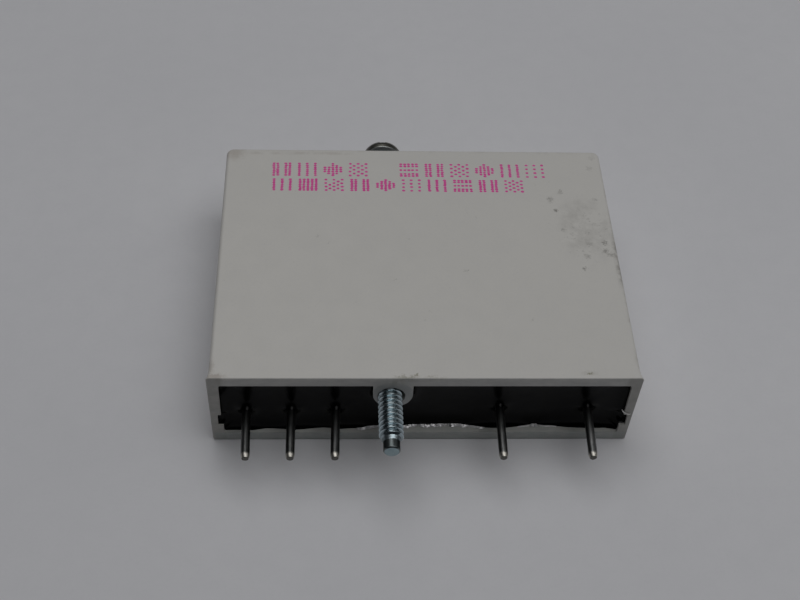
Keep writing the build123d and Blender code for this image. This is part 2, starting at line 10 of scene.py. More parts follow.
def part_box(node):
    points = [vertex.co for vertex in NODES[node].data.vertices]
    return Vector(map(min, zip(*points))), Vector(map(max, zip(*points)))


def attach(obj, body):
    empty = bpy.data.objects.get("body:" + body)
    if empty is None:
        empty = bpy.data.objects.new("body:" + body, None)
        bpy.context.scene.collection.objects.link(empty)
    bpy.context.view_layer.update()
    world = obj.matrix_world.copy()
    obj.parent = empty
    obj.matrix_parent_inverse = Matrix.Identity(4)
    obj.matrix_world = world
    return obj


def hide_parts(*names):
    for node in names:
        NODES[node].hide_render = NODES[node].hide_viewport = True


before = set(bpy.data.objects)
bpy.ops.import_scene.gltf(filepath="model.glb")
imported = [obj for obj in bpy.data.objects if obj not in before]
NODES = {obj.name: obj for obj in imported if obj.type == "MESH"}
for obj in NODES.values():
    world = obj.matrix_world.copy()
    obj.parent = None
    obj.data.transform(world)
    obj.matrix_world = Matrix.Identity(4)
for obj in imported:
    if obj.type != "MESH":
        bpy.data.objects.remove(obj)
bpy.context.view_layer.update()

MM = 0.001

# ------------------------------------------------------------------ places, all read from the frame
case_lo, case_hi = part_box("case_shell")
pot_lo, pot_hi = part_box("potting_compound")
screw_lo, screw_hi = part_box("hold_down_screw")
MOUTH = case_lo.y                     # plane of the open side
TOP = case_hi.z                       # upper broad face
RECESS = pot_lo.y - MOUTH             # deepest level of the potting
SCREW_X = (screw_lo.x + screw_hi.x) / 2
SCREW_Z = (screw_lo.z + screw_hi.z) / 2
PINS = ["field_pin_1", "field_pin_2", "logic_pin_3", "logic_pin_4", "logic_pin_5"]


def col(obj_or_mesh):
    """Vertex positions of a mesh as an array."""
    me = getattr(obj_or_mesh, "data", obj_or_mesh)
    a = np.empty(len(me.vertices) * 3)
    me.vertices.foreach_get("co", a)
    return a.reshape(-1, 3)


def new_object(name, verts, faces, smooth=True):
    me = bpy.data.meshes.new(name)
    me.from_pydata([tuple(v) for v in verts], [], [tuple(f) for f in faces])
    me.validate()
    me.update()
    if smooth:
        me.polygons.foreach_set("use_smooth", [True] * len(me.polygons))
    ob = bpy.data.objects.new(name, me)
    bpy.context.scene.collection.objects.link(ob)
    return ob


def outward(ob):
    """Makes the faces of a closed mesh point outwards."""
    bm = bmesh.new()
    bm.from_mesh(ob.data)
    bmesh.ops.recalc_face_normals(bm, faces=bm.faces)
    bm.to_mesh(ob.data)
    bm.free()
    ob.data.update()


def sharpen(ob, degrees, skip=None):
    """Marks the edges that stay crisp under smooth shading."""
    bm = bmesh.new()
    bm.from_mesh(ob.data)
    limit = math.radians(degrees)
    for e in bm.edges:
        if len(e.link_faces) == 2 and e.calc_face_angle(0) > limit:
            mid = (e.verts[0].co + e.verts[1].co) / 2
            if skip is None or not skip(mid):
                e.smooth = False
    bm.to_mesh(ob.data)
    bm.free()
    ob.data.update()


# ------------------------------------------------------------------ material helpers
def srgb(r, g, b):
    def f(c):
        c /= 255.0
        return c / 12.92 if c <= 0.04045 else ((c + 0.055) / 1.055) ** 2.4
    return (f(r), f(g), f(b), 1.0)


class Mat:
    """A small wrapper that keeps the node code of a material short."""

    def __init__(self, name):
        self.mat = bpy.data.materials.new(name)
        self.mat.use_nodes = True
        self.nt = self.mat.node_tree
        self.nt.nodes.clear()
        self.out = self.nt.nodes.new("ShaderNodeOutputMaterial")
        self.bsdf = self.nt.nodes.new("ShaderNodeBsdfPrincipled")
        self.nt.links.new(self.bsdf.outputs[0], self.out.inputs[0])
        tc = self.nt.nodes.new("ShaderNodeTexCoord")
        sc = self.nt.nodes.new("ShaderNodeVectorMath")
        sc.operation = "SCALE"
        sc.inputs["Scale"].default_value = 1000.0
        self.nt.links.new(tc.outputs["Object"], sc.inputs[0])
        self.p = sc.outputs[0]                # place in the frame, in millimetres

    def link(self, value, socket):
        if isinstance(value, bpy.types.NodeSocket):
            self.nt.links.new(value, socket)
        elif value is not None:
            socket.default_value = value

    def set(self, name, value):
        self.link(value, self.bsdf.inputs[name])

    def math(self, op, a, b=None, c=None, clamp=False):
        n = self.nt.nodes.new("ShaderNodeMath")
        n.operation = op
        n.use_clamp = clamp
        for i, v in enumerate((a, b, c)):
            self.link(v, n.inputs[i])
        return n.outputs[0]

    def vec(self, op, a, b=None, scale=None):
        n = self.nt.nodes.new("ShaderNodeVectorMath")
        n.operation = op
        self.link(a, n.inputs[0])
        if b is not None:
            self.link(b, n.inputs[1])
        if scale is not None:
            n.inputs["Scale"].default_value = scale
        return n.outputs["Value"] if op in ("DISTANCE", "LENGTH", "DOT_PRODUCT") else n.outputs[0]

    def xyz(self, v=None):
        n = self.nt.nodes.new("ShaderNodeSeparateXYZ")
        self.link(self.p if v is None else v, n.inputs[0])
        return n.outputs[0], n.outputs[1], n.outputs[2]

    def comb(self, x, y, z):
        n = self.nt.nodes.new("ShaderNodeCombineXYZ")
        for i, v in enumerate((x, y, z)):
            self.link(v, n.inputs[i])
        return n.outputs[0]

    def noise(self, scale, detail=3.0, rough=0.5, v=None, distortion=0.0, stretch=None, color=False):
        v = self.p if v is None else v
        if stretch is not None:
            v = self.vec("MULTIPLY", v, stretch)
        n = self.nt.nodes.new("ShaderNodeTexNoise")
        self.link(v, n.inputs["Vector"])
        n.inputs["Scale"].default_value = scale
        n.inputs["Detail"].default_value = detail
        n.inputs["Roughness"].default_value = rough
        n.inputs["Distortion"].default_value = distortion
        return n.outputs["Color"] if color else n.outputs["Fac"]

    def voronoi(self, scale, v=None, feature="F1", out="Distance", randomness=1.0):
        n = self.nt.nodes.new("ShaderNodeTexVoronoi")
        n.feature = feature
        self.link(self.p if v is None else v, n.inputs["Vector"])
        n.inputs["Scale"].default_value = scale
        n.inputs["Randomness"].default_value = randomness
        return n.outputs[out]

    def remap(self, v, a, b, c=0.0, d=1.0, smooth=False):
        n = self.nt.nodes.new("ShaderNodeMapRange")
        n.interpolation_type = "SMOOTHSTEP" if smooth else "LINEAR"
        n.clamp = True
        self.link(v, n.inputs["Value"])
        n.inputs["From Min"].default_value = a
        n.inputs["From Max"].default_value = b
        n.inputs["To Min"].default_value = c
        n.inputs["To Max"].default_value = d
        return n.outputs["Result"]

    def mix(self, fac, a, b, blend="MIX"):
        n = self.nt.nodes.new("ShaderNodeMix")
        n.data_type = "RGBA"
        n.blend_type = blend
        n.clamp_factor = True
        self.link(fac, n.inputs[0])
        self.link(a, n.inputs[6])
        self.link(b, n.inputs[7])
        return n.outputs[2]

    def ramp(self, v, stops, interp="LINEAR"):
        n = self.nt.nodes.new("ShaderNodeValToRGB")
        n.color_ramp.interpolation = interp
        els = n.color_ramp.elements
        while len(els) > 1:
            els.remove(els[-1])
        els[0].position, els[0].color = stops[0]
        for pos, c in stops[1:]:
            e = els.new(pos)
            e.color = c
        self.link(v, n.inputs[0])
        return n.outputs[0]

    def bump(self, height, strength, distance_mm, normal=None):
        n = self.nt.nodes.new("ShaderNodeBump")
        n.inputs["Strength"].default_value = strength
        n.inputs["Distance"].default_value = distance_mm * MM
        self.link(height, n.inputs["Height"])
        if normal is not None:
            self.link(normal, n.inputs["Normal"])
        return n.outputs[0]

    def add(self, *vals):
        r = vals[0]
        for v in vals[1:]:
            r = self.math("ADD", r, v)
        return r

    def mul(self, *vals):
        r = vals[0]
        for v in vals[1:]:
            r = self.math("MULTIPLY", r, v)
        return r

    def most(self, *vals):
        r = vals[0]
        for v in vals[1:]:
            r = self.math("MAXIMUM", r, v)
        return r

    def spot(self, v, x, y, r, soft=0.5, strength=1.0):
        """1 near the point (x, y) of a flat position v, falling to 0 at radius r."""
        d = self.vec("DISTANCE", v, (x, y, 0.0))
        return self.remap(d, r * (1 - soft), r, strength, 0.0, smooth=True)


def ym(depth_mm):
    """Y in millimetres of a point this deep inside the mouth."""
    return MOUTH * 1000 + depth_mm


# ------------------------------------------------------------------ moulded case
def case_material():
    m = Mat("white_case_moulded")
    x, y, z = m.xyz()
    big = m.noise(0.035, 2.0, 0.5)
    mid = m.noise(0.35, 4.0, 0.55)
    fine = m.noise(3.2, 3.0, 0.6)
    white = m.mix(m.remap(big, 0.3, 0.7), (0.664, 0.648, 0.612, 1), (0.642, 0.628, 0.596, 1))
    white = m.mix(m.remap(mid, 0.35, 0.75, 0.0, 0.35), white, (0.603, 0.591, 0.562, 1))
    white = m.mix(m.remap(fine, 0.52, 0.80, 0.0, 0.22), white, (0.545, 0.533, 0.506, 1))

    # dirt on the upper face: places are flat (x, depth), wobbled so that no mark is round
    wob = m.vec("SUBTRACT", m.noise(1.7, 3.0, 0.6, color=True), (0.5, 0.5, 0.5))
    wob2 = m.vec("SUBTRACT", m.noise(5.2, 3.0, 0.65, color=True), (0.5, 0.5, 0.5))
    flat = m.vec("MULTIPLY", m.p, (1.0, 1.0, 0.0))
    flat = m.vec("ADD", flat, m.vec("MULTIPLY", wob, (1.15, 1.15, 0.0)))
    flat = m.vec("ADD", flat, m.vec("MULTIPLY", wob2, (1.05, 1.05, 0.0)))
    upper = m.remap(z, TOP * 1000 - 0.9, TOP * 1000 - 0.1)
    specks = [
        # x, depth, radius, strength
        (17.16, 26.07, 0.34, 0.62), (16.75, 27.95, 0.60, 0.34), (18.15, 29.32, 0.40, 0.30),
        (22.45, 28.00, 0.36, 0.26), (20.04, 26.42, 0.50, 0.14), (20.51, 25.21, 0.45, 0.20),
        (21.62, 23.75, 0.40, 0.16), (23.08, 22.99, 0.40, 0.20), (17.82, 22.75, 0.36, 0.32),
        (18.77, 22.18, 0.45, 0.15), (20.81, 22.19, 0.45, 0.26), (19.66, 20.82, 0.50, 0.18),
        (22.61, 20.64, 0.46, 0.48), (20.72, 20.52, 0.55, 0.30), (22.50, 19.21, 0.50, 0.42),
        (20.27, 18.43, 0.55, 0.28), (23.15, 18.71, 0.45, 0.34), (19.69, 16.45, 0.32, 0.52),
        (22.31, 33.57, 0.42, 0.14), (22.82, 35.47, 0.50, 0.13),
        (5.35, 16.05, 0.20, 0.28), (-3.13, 14.44, 0.17, 0.25), (0.92, 9.84, 0.17, 0.24),
        (0.28, 8.42, 0.16, 0.22), (12.66, 8.46, 0.20, 0.24), (-12.24, 21.51, 0.18, 0.20),
        (-1.33, 21.27, 0.16, 0.22), (-11.0, 20.29, 0.17, 0.20), (7.2, 24.9, 0.16, 0.18),
    ]
    grey = None
    for sx, sd, r, s in specks:
        g = m.spot(flat, sx, ym(sd), r * 1.12, 0.75, min(1.0, s * 1.45))
        grey = g if grey is None else m.most(grey, g)
    # every mark is worn through in places
    grey = m.mul(grey, m.remap(m.noise(4.6, 4.0, 0.68), 0.36, 0.56, 0.22, 1.0))
    # a rubbed, gritty patch towards the right edge
    patch = m.remap(m.vec("DISTANCE", m.vec("MULTIPLY", flat, (1.0, 0.62, 0.0)), (20.6, ym(23.0) * 0.62, 0.0)),
                    1.2, 4.6, 1.0, 0.0, smooth=True)
    grit = m.remap(m.noise(2.1, 5.0, 0.68), 0.56, 0.70)
    smear = m.remap(m.noise(0.55, 3.0, 0.55), 0.45, 0.70)
    grey = m.most(grey, m.mul(patch, grit, 0.40), m.mul(patch, smear, 0.26))
    # scattered fine dust
    dust = m.remap(m.voronoi(0.62), 0.0, 0.085, 1.0, 0.0)
    keep = m.remap(m.noise(0.22, 1.0), 0.50, 0.62)
    grey = m.most(grey, m.mul(dust, keep, 0.16))
    grey = m.mul(grey, upper)
    c = m.mix(grey, white, (0.140, 0.130, 0.112, 1))

    mouth_face = m.remap(y, ym(0.30), ym(0.10))
    # brown staining: far left corner, far edge, near left corner, and behind the screw
    far = m.remap(m.math("ABSOLUTE", m.math("SUBTRACT", y, ym(35.95))), 0.05, 0.42, 1.0, 0.0, smooth=True)
    far = m.mul(far, m.remap(x, -7.5, -9.5), m.remap(m.noise(0.8, 3.0), 0.35, 0.62), 0.17)
    brown = m.most(
        m.spot(flat, -22.9, ym(35.9), 1.9, 0.95, 0.30),
        far,
        m.spot(m.vec("MULTIPLY", flat, (0.45, 1.0, 0.0)), -23.35 * 0.45, ym(0.3), 0.75, 0.9, 0.42),
        m.spot(m.vec("MULTIPLY", flat, (1.0, 0.35, 0.0)), -23.85, ym(1.6) * 0.35, 0.55, 0.9, 0.22),
    )
    brown = m.mul(brown, m.remap(z, TOP * 1000 - 1.1, TOP * 1000 - 0.4))
    c = m.mix(brown, c, (0.205, 0.135, 0.085, 1))
    olive = m.spot(m.vec("MULTIPLY", flat, (0.28, 1.0, 0.0)), -2.3 * 0.28, ym(0.12), 0.52, 0.9, 0.85)
    olive = m.most(olive, m.spot(m.vec("MULTIPLY", flat, (0.22, 1.0, 0.0)), 0.9 * 0.22, ym(0.10), 0.42, 0.9, 0.42))
    olive = m.mul(olive, m.remap(m.noise(1.6, 3.0), 0.30, 0.60, 0.25, 1.0), m.remap(z, TOP * 1000 - 0.7, TOP * 1000 - 0.2))
    olive = m.most(olive, m.mul(m.spot(flat, -1.15, ym(0.50), 0.26, 0.6, 0.75), upper))
    # it has run down the face of the lip above the screw
    run_down = m.spot(m.vec("MULTIPLY", m.comb(x, z, 0.0), (0.55, 1.0, 0.0)), -3.35 * 0.55, 10.95, 0.95, 0.85, 0.55)
    olive = m.most(olive, m.mul(run_down, mouth_face, m.remap(m.noise(1.3, 3.0, 0.6, stretch=(1.6, 1.0, 0.6)), 0.30, 0.62)))
    olive = m.most(olive, m.mul(m.spot(flat, 18.35, ym(0.66), 0.24, 0.6, 0.85), upper),
                   m.mul(m.spot(m.vec("MULTIPLY", flat, (0.35, 1.0, 0.0)), 18.3 * 0.35, ym(0.75), 0.55, 0.9, 0.20), upper))
    c = m.mix(olive, c, (0.235, 0.225, 0.150, 1))

    # handling dirt along the long outer edges, and a dark rub on the right edge; the same noise breaks up painted shade
    # towards the foot
    grime_and_shade = m.remap(m.noise(0.55, 4.0, 0.65), 0.50, 0.74)
    edge_r = m.mul(m.remap(x, 23.55, 24.05), m.remap(z, 10.6, 11.5), grime_and_shade, 0.42)
    rub = m.mul(m.remap(x, 23.3, 23.9), m.remap(z, 10.9, 11.6), m.remap(y, ym(13.0), ym(15.0)), m.remap(y, ym(22.5), ym(20.0)),
                m.remap(m.noise(1.4, 3.0), 0.30, 0.6), 0.75)
    edge_f = m.mul(m.remap(y, ym(35.9), ym(36.7)), grime_and_shade, 0.22)
    edge_l = m.mul(m.remap(x, -23.7, -24.1), grime_and_shade, 0.22)
    # painted shade: the case is darkened all round towards its foot, where it stands on the floor
    foot = m.mul(m.remap(z, 0.9, 0.05), grime_and_shade, 0.30)
    c = m.mix(m.most(edge_r, rub, edge_f, edge_l, foot), c, (0.20, 0.185, 0.165, 1))

    # the face of the open side is painted darker in streaky patches: painted shade on the front faces
    mouth = m.remap(y, ym(0.16), ym(0.02), smooth=True)
    lip = m.mul(mouth, m.remap(m.noise(1.2, 4.0, 0.6, stretch=(0.5, 1.0, 1.6)), 0.35, 0.75, 0.35, 0.80))
    c = m.mix(lip, c, (0.400, 0.402, 0.392, 1))
    # painted shade, deeper on the sides of the mouth
    jamb = m.mul(mouth, m.remap(m.math("ABSOLUTE", x), 22.5, 22.9), m.remap(m.noise(1.0, 3.0, 0.6), 0.30, 0.70, 0.38, 0.70))
    c = m.mix(jamb, c, (0.300, 0.290, 0.262, 1))
    # the lower wall's lip and the floor of the recess are painted darker and grey-green: painted shade inside the
    # recess and on the lower lip
    side = m.math("ABSOLUTE", x)
    sill = m.mul(m.remap(z, 1.52, 1.36), m.remap(z, 0.02, 0.10), m.remap(side, 24.08, 23.90), m.remap(y, ym(1.8), ym(1.5)),
                 m.remap(m.noise(0.9, 4.0, 0.6), 0.30, 0.70, 0.30, 0.66))
    c = m.mix(sill, c, (0.345, 0.388, 0.374, 1))
    # painted shade: a darker, bluish ring round the screw boss on the mouth face, where it meets the upper wall
    collar = m.mul(mouth, m.remap(m.vec("DISTANCE", m.comb(x, z, 0.0), (-3.64, 8.76, 0.0)), 2.45, 2.25), m.remap(z, 11.2, 10.2), 0.55)
    c = m.mix(collar, c, (0.300, 0.325, 0.330, 1))
    m.set("Base Color", c)
    rough = m.add(m.remap(mid, 0.2, 0.8, 0.40, 0.52), m.mul(grey, 0.25))
    m.set("Roughness", rough)
    m.set("IOR", 1.50)
    m.set("Subsurface Weight", 0.0)
    grain = m.bump(m.noise(9.0, 2.0, 0.5), 0.35, 0.010)
    wave = m.bump(m.noise(0.12, 1.0, 0.4), 0.25, 0.05, grain)
    m.set("Normal", wave)
    return m.mat


def ink_material():
    m = Mat("pink_marking_ink")
    n = m.noise(2.6, 4.0, 0.6)
    c = m.mix(m.remap(n, 0.35, 0.68), (0.74, 0.055, 0.330, 1), (0.80, 0.110, 0.405, 1))
    c = m.mix(m.remap(m.noise(7.0, 2.0), 0.58, 0.80, 0.0, 0.4), c, (0.78, 0.40, 0.55, 1))
    m.set("Base Color", c)
    m.set("Roughness", m.remap(n, 0.2, 0.8, 0.50, 0.66))
    m.set("Normal", m.bump(m.noise(8.0, 2.0), 0.3, 0.010))
    return m.mat


# Blocks of a dot marker, five dots wide and seven high. They are plain patterns, not characters.
BLOCKS = {
    "grid": ["10101", "00000", "10101", "00000", "10101", "00000", "10101"],
    "check": ["10101", "01010", "10101", "01010", "10101", "01010", "10101"],
    "diamond": ["00100", "01110", "11111", "11111", "11111", "01110", "00100"],
    "bars": ["11111", "11111", "00000", "11111", "00000", "11111", "11111"],
    "columns": ["10101", "10101", "10101", "10101", "10101", "10101", "10101"],
    "posts": ["11011", "11011", "11011", "11011", "11011", "11011", "11011"],
    "solid": ["11111", "11111", "11111", "11111", "11111", "11111", "11111"],
}
LINE_1 = ["posts", "columns", "diamond", "check", None, "bars", "posts", "check", "diamond", "columns", "grid"]
LINE_2 = ["columns", "solid", "check", "posts", "diamond", "grid", "columns", "bars", "posts", "check"]


def ink_dots():
    """Outlines, in (x, y) metres, of every dot of the marking."""
    rng = np.random.default_rng(7)
    dots = []
    for cells, x_first, x_last, y0, y1 in (
        (LINE_1, -18.1, 16.5, 31.80, 34.24),
        (LINE_2, -18.0, 13.6, 29.20, 31.36),
    ):
        wide = 2.50
        pitch = (x_last - x_first - wide) / (len(cells) - 1)
        for k, name in enumerate(cells):
            if name is None:
                continue
            rows = BLOCKS[name]
            x0 = x_first + k * pitch
            row_step = (y1 - y0) / 7
            col_step = wide / 5
            for i, row in enumerate(rows):
                for j, bit in enumerate(row):
                    if bit != "1" or rng.random() < 0.012:
                        continue
                    cx = x0 + (j + 0.5) * col_step + rng.normal(0, 0.018)
                    cy = y1 - (i + 0.5) * row_step + rng.normal(0, 0.012)
                    rx = 0.205 * rng.uniform(0.88, 1.08)
                    ry = 0.172 * rng.uniform(0.88, 1.08)
                    count = 12
                    ring = []
                    for t in range(count):
                        a = 2 * math.pi * t / count
                        f = 1 + rng.normal(0, 0.035)
                        ring.append(((cx + rx * f * math.cos(a)) * MM, MOUTH + (cy + ry * f * math.sin(a)) * MM))
                    dots.append(ring)
    return dots


def welded(node):
    """The CAD node's mesh with its seams joined: points, polygons and each corner's normal."""
    me = NODES[node].data
    co = col(me)
    key, index, points = {}, [], []
    for v in co:
        k = tuple(np.round(v * 1e7).astype(np.int64))
        if k not in key:
            key[k] = len(points)
            points.append(Vector(v))
        index.append(key[k])
    polys, normals = [], []
    cn = me.corner_normals
    for p in me.polygons:
        ids = [index[i] for i in p.vertices]
        if len(set(ids)) < 3:
            continue
        polys.append(ids)
        normals.append([cn[li].vector.copy() for li in p.loop_indices])
    return points, polys, normals


def border_loops(polys):
    """Closed loops round a set of polygons, each as a list of point numbers."""
    seen = {}
    for p in polys:
        for a, b in zip(p, p[1:] + p[:1]):
            if (b, a) in seen:
                del seen[(b, a)]
            else:
                seen[(a, b)] = True
    nxt = {a: b for a, b in seen}
    loops = []
    while nxt:
        a = next(iter(nxt))
        loop = [a]
        b = nxt.pop(a)
        while b != loop[0]:
            loop.append(b)
            b = nxt.pop(b)
        loops.append(loop)
    return loops


def build_case():
    """The case as drawn in CAD, with its upper face divided so that the marking is part of that face."""
    points, polys, normals = welded("case_shell")
    side = 24.15 * MM
    for v in points:                       # the flare of the lip fades out towards the foot
        depth = (v.y - MOUTH) / MM
        if abs(v.x) > side - 0.25 * MM and depth < 1.55:
            extra = max(0.0, abs(v.x) - (24.15 - 0.011) * MM) if depth < 1.5 else 0.0
            t = min(1.0, max(0.0, (v.z / MM - 0.4) / 9.5))
            v.x -= math.copysign(extra * (1 - t * t * (3 - 2 * t)) * (0.95 if v.x > 0 else 0.55), v.x)
    flat = [i for i, p in enumerate(polys) if all(abs(points[v].z - TOP) < 2e-7 for v in p)]
    flat_set = set(flat)
    loops = border_loops([polys[i] for i in flat])
    faces = [polys[i] for i in range(len(polys)) if i not in flat_set]
    corner = [normals[i] for i in range(len(polys)) if i not in flat_set]
    mats = [0] * len(faces)
    verts2, edges = [], []
    owner = []
    for loop in loops:
        base = len(verts2)
        for v in loop:
            verts2.append(Vector((points[v].x * 1000, points[v].y * 1000)))
            owner.append(v)
        edges += [(base + i, base + (i + 1) % len(loop)) for i in range(len(loop))]
    dots = ink_dots()
    centres = []
    for ring in dots:
        base = len(verts2)
        for x, y in ring:
            verts2.append(Vector((x * 1000, y * 1000)))
            owner.append(None)
        edges += [(base + i, base + (i + 1) % len(ring)) for i in range(len(ring))]
        centres.append((sum(p[0] for p in ring) / len(ring) * 1000, sum(p[1] for p in ring) / len(ring) * 1000))
    out = delaunay_2d_cdt(verts2, edges, [], 1, 1e-7)
    o_verts, o_faces, o_orig = out[0], out[2], out[3]
    number = []
    for i, v in enumerate(o_verts):
        src = [owner[k] for k in o_orig[i] if owner[k] is not None]
        if src:
            number.append(src[0])
        else:
            number.append(len(points))
            points.append(Vector((v.x / 1000, v.y / 1000, TOP)))
    rings = [np.array(r) * 1000 for r in dots]
    cen = np.array(centres)
    up = Vector((0, 0, 1))
    for f in o_faces:
        c = sum((o_verts[i] for i in f), Vector((0, 0))) / len(f)
        near = np.argmin((cen[:, 0] - c.x) ** 2 + ((cen[:, 1] - c.y) * 1.7) ** 2)
        inked = False
        for k in np.argsort((cen[:, 0] - c.x) ** 2 + (cen[:, 1] - c.y) ** 2)[:3]:
            ring = rings[k]
            inside = False
            j = len(ring) - 1
            for i in range(len(ring)):
                if (ring[i][1] > c.y) != (ring[j][1] > c.y) and c.x < (ring[j][0] - ring[i][0]) * (c.y - ring[i][1]) / (
                    ring[j][1] - ring[i][1]
                ) + ring[i][0]:
                    inside = not inside
                j = i
            inked = inked or inside
        ids = [number[i] for i in f]
        a, b, d = (points[i] for i in ids[:3])
        if (b - a).cross(d - a).z < 0:
            ids.reverse()
        faces.append(ids)
        corner.append([up] * len(ids))
        mats.append(1 if inked else 0)
    me = bpy.data.meshes.new("case_moulding")
    me.from_pydata([tuple(v) for v in points], [], faces)
    me.update()
    me.polygons.foreach_set("use_smooth", [True] * len(me.polygons))
    me.materials.append(case_material())
    me.materials.append(ink_material())
    me.polygons.foreach_set("material_index", mats)
    me.normals_split_custom_set([n for face in corner for n in face])
    ob = bpy.data.objects.new("case_moulding", me)
    bpy.context.scene.collection.objects.link(ob)
    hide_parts("case_shell")
    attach(ob, "case")
    return ob


# ------------------------------------------------------------------ potting
# depth in mm of the line where the potting meets the lower wall, from left to right
LOWER = np.array([
    (-23.6, 0.30), (-22.9, 0.36), (-21.0, 0.40), (-19.7, 0.33), (-18.0, 0.62), (-16.4, 0.54), (-14.7, 0.38), (-13.0, 0.56),
    (-11.4, 0.72), (-9.5, 0.50), (-8.0, 0.61), (-7.0, 0.66), (-6.2, 0.86), (-5.5, 0.94), (-3.8, 0.95), (-2.1, 0.96),
    (-1.3, 1.08), (-0.3, 1.14), (0.7, 1.10), (1.9, 1.17), (3.1, 1.21), (4.3, 1.17), (5.3, 1.03), (6.8, 0.76), (8.1, 0.60),
    (10.0, 0.64), (11.6, 0.84), (13.2, 1.13), (14.4, 0.94), (15.4, 0.92), (16.8, 0.73), (18.4, 0.62), (20.0, 0.54),
    (21.6, 0.60), (22.6, 0.42), (23.2, 0.33), (23.9, 0.30),
])
# deepest level of the open surface, from left to right
LEVEL = np.array([(-24, 1.00), (-20, 1.02), (-15, 1.05), (-10, 1.12), (-5, 1.30), (0, 1.42), (5, 1.40), (9, 1.38), (14, 1.46),
                  (19, 1.36), (24, 1.22)])
# how near the mouth the potting climbs on each pin
WET = {"field_pin_1": 0.72, "field_pin_2": 0.80, "logic_pin_3": 0.42, "logic_pin_4": 0.40, "logic_pin_5": 0.36}
PIN_AT = {n: ((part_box(n)[0].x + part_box(n)[1].x) / 2 * 1000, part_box(n)[1].z * 1000 - 0.508) for n in PINS}


def smooth_noise(x, z, scale, seed):
    return np.array([noise.noise(Vector((a * scale, b * scale, seed))) for a, b in zip(x, z)])


def wall_contact(x, z):
    """Depth at which the potting ends on the wall, at points of the outline, in mm."""
    low = np.interp(x, LOWER[:, 0], LOWER[:, 1])
    side = np.where(x < 0, 0.20, 0.26) + 0.05 * smooth_noise(x, z, 0.9, 3.0)
    up = 0.55 + 0.08 * smooth_noise(x, z, 0.5, 9.0)
    t = np.clip((z - 1.4) / 1.2, 0, 1)
    at_side = (np.abs(x) > 22.4).astype(float)
    d = np.where(z < 1.9, low, up)
    d = np.where(at_side > 0, low * (1 - t) + side * t, d)
    d = np.where((at_side > 0) & (z > 9.6), side + (up - side) * np.clip((z - 9.6) / 0.8, 0, 1), d)
    on_tube = (np.abs(x + 3.64) < 2.6) & (z > 5.5)
    d = np.where(on_tube, 0.42 + 0.06 * smooth_noise(x, z, 1.1, 5.0), d)
    return np.clip(d, 0.10, 1.60)


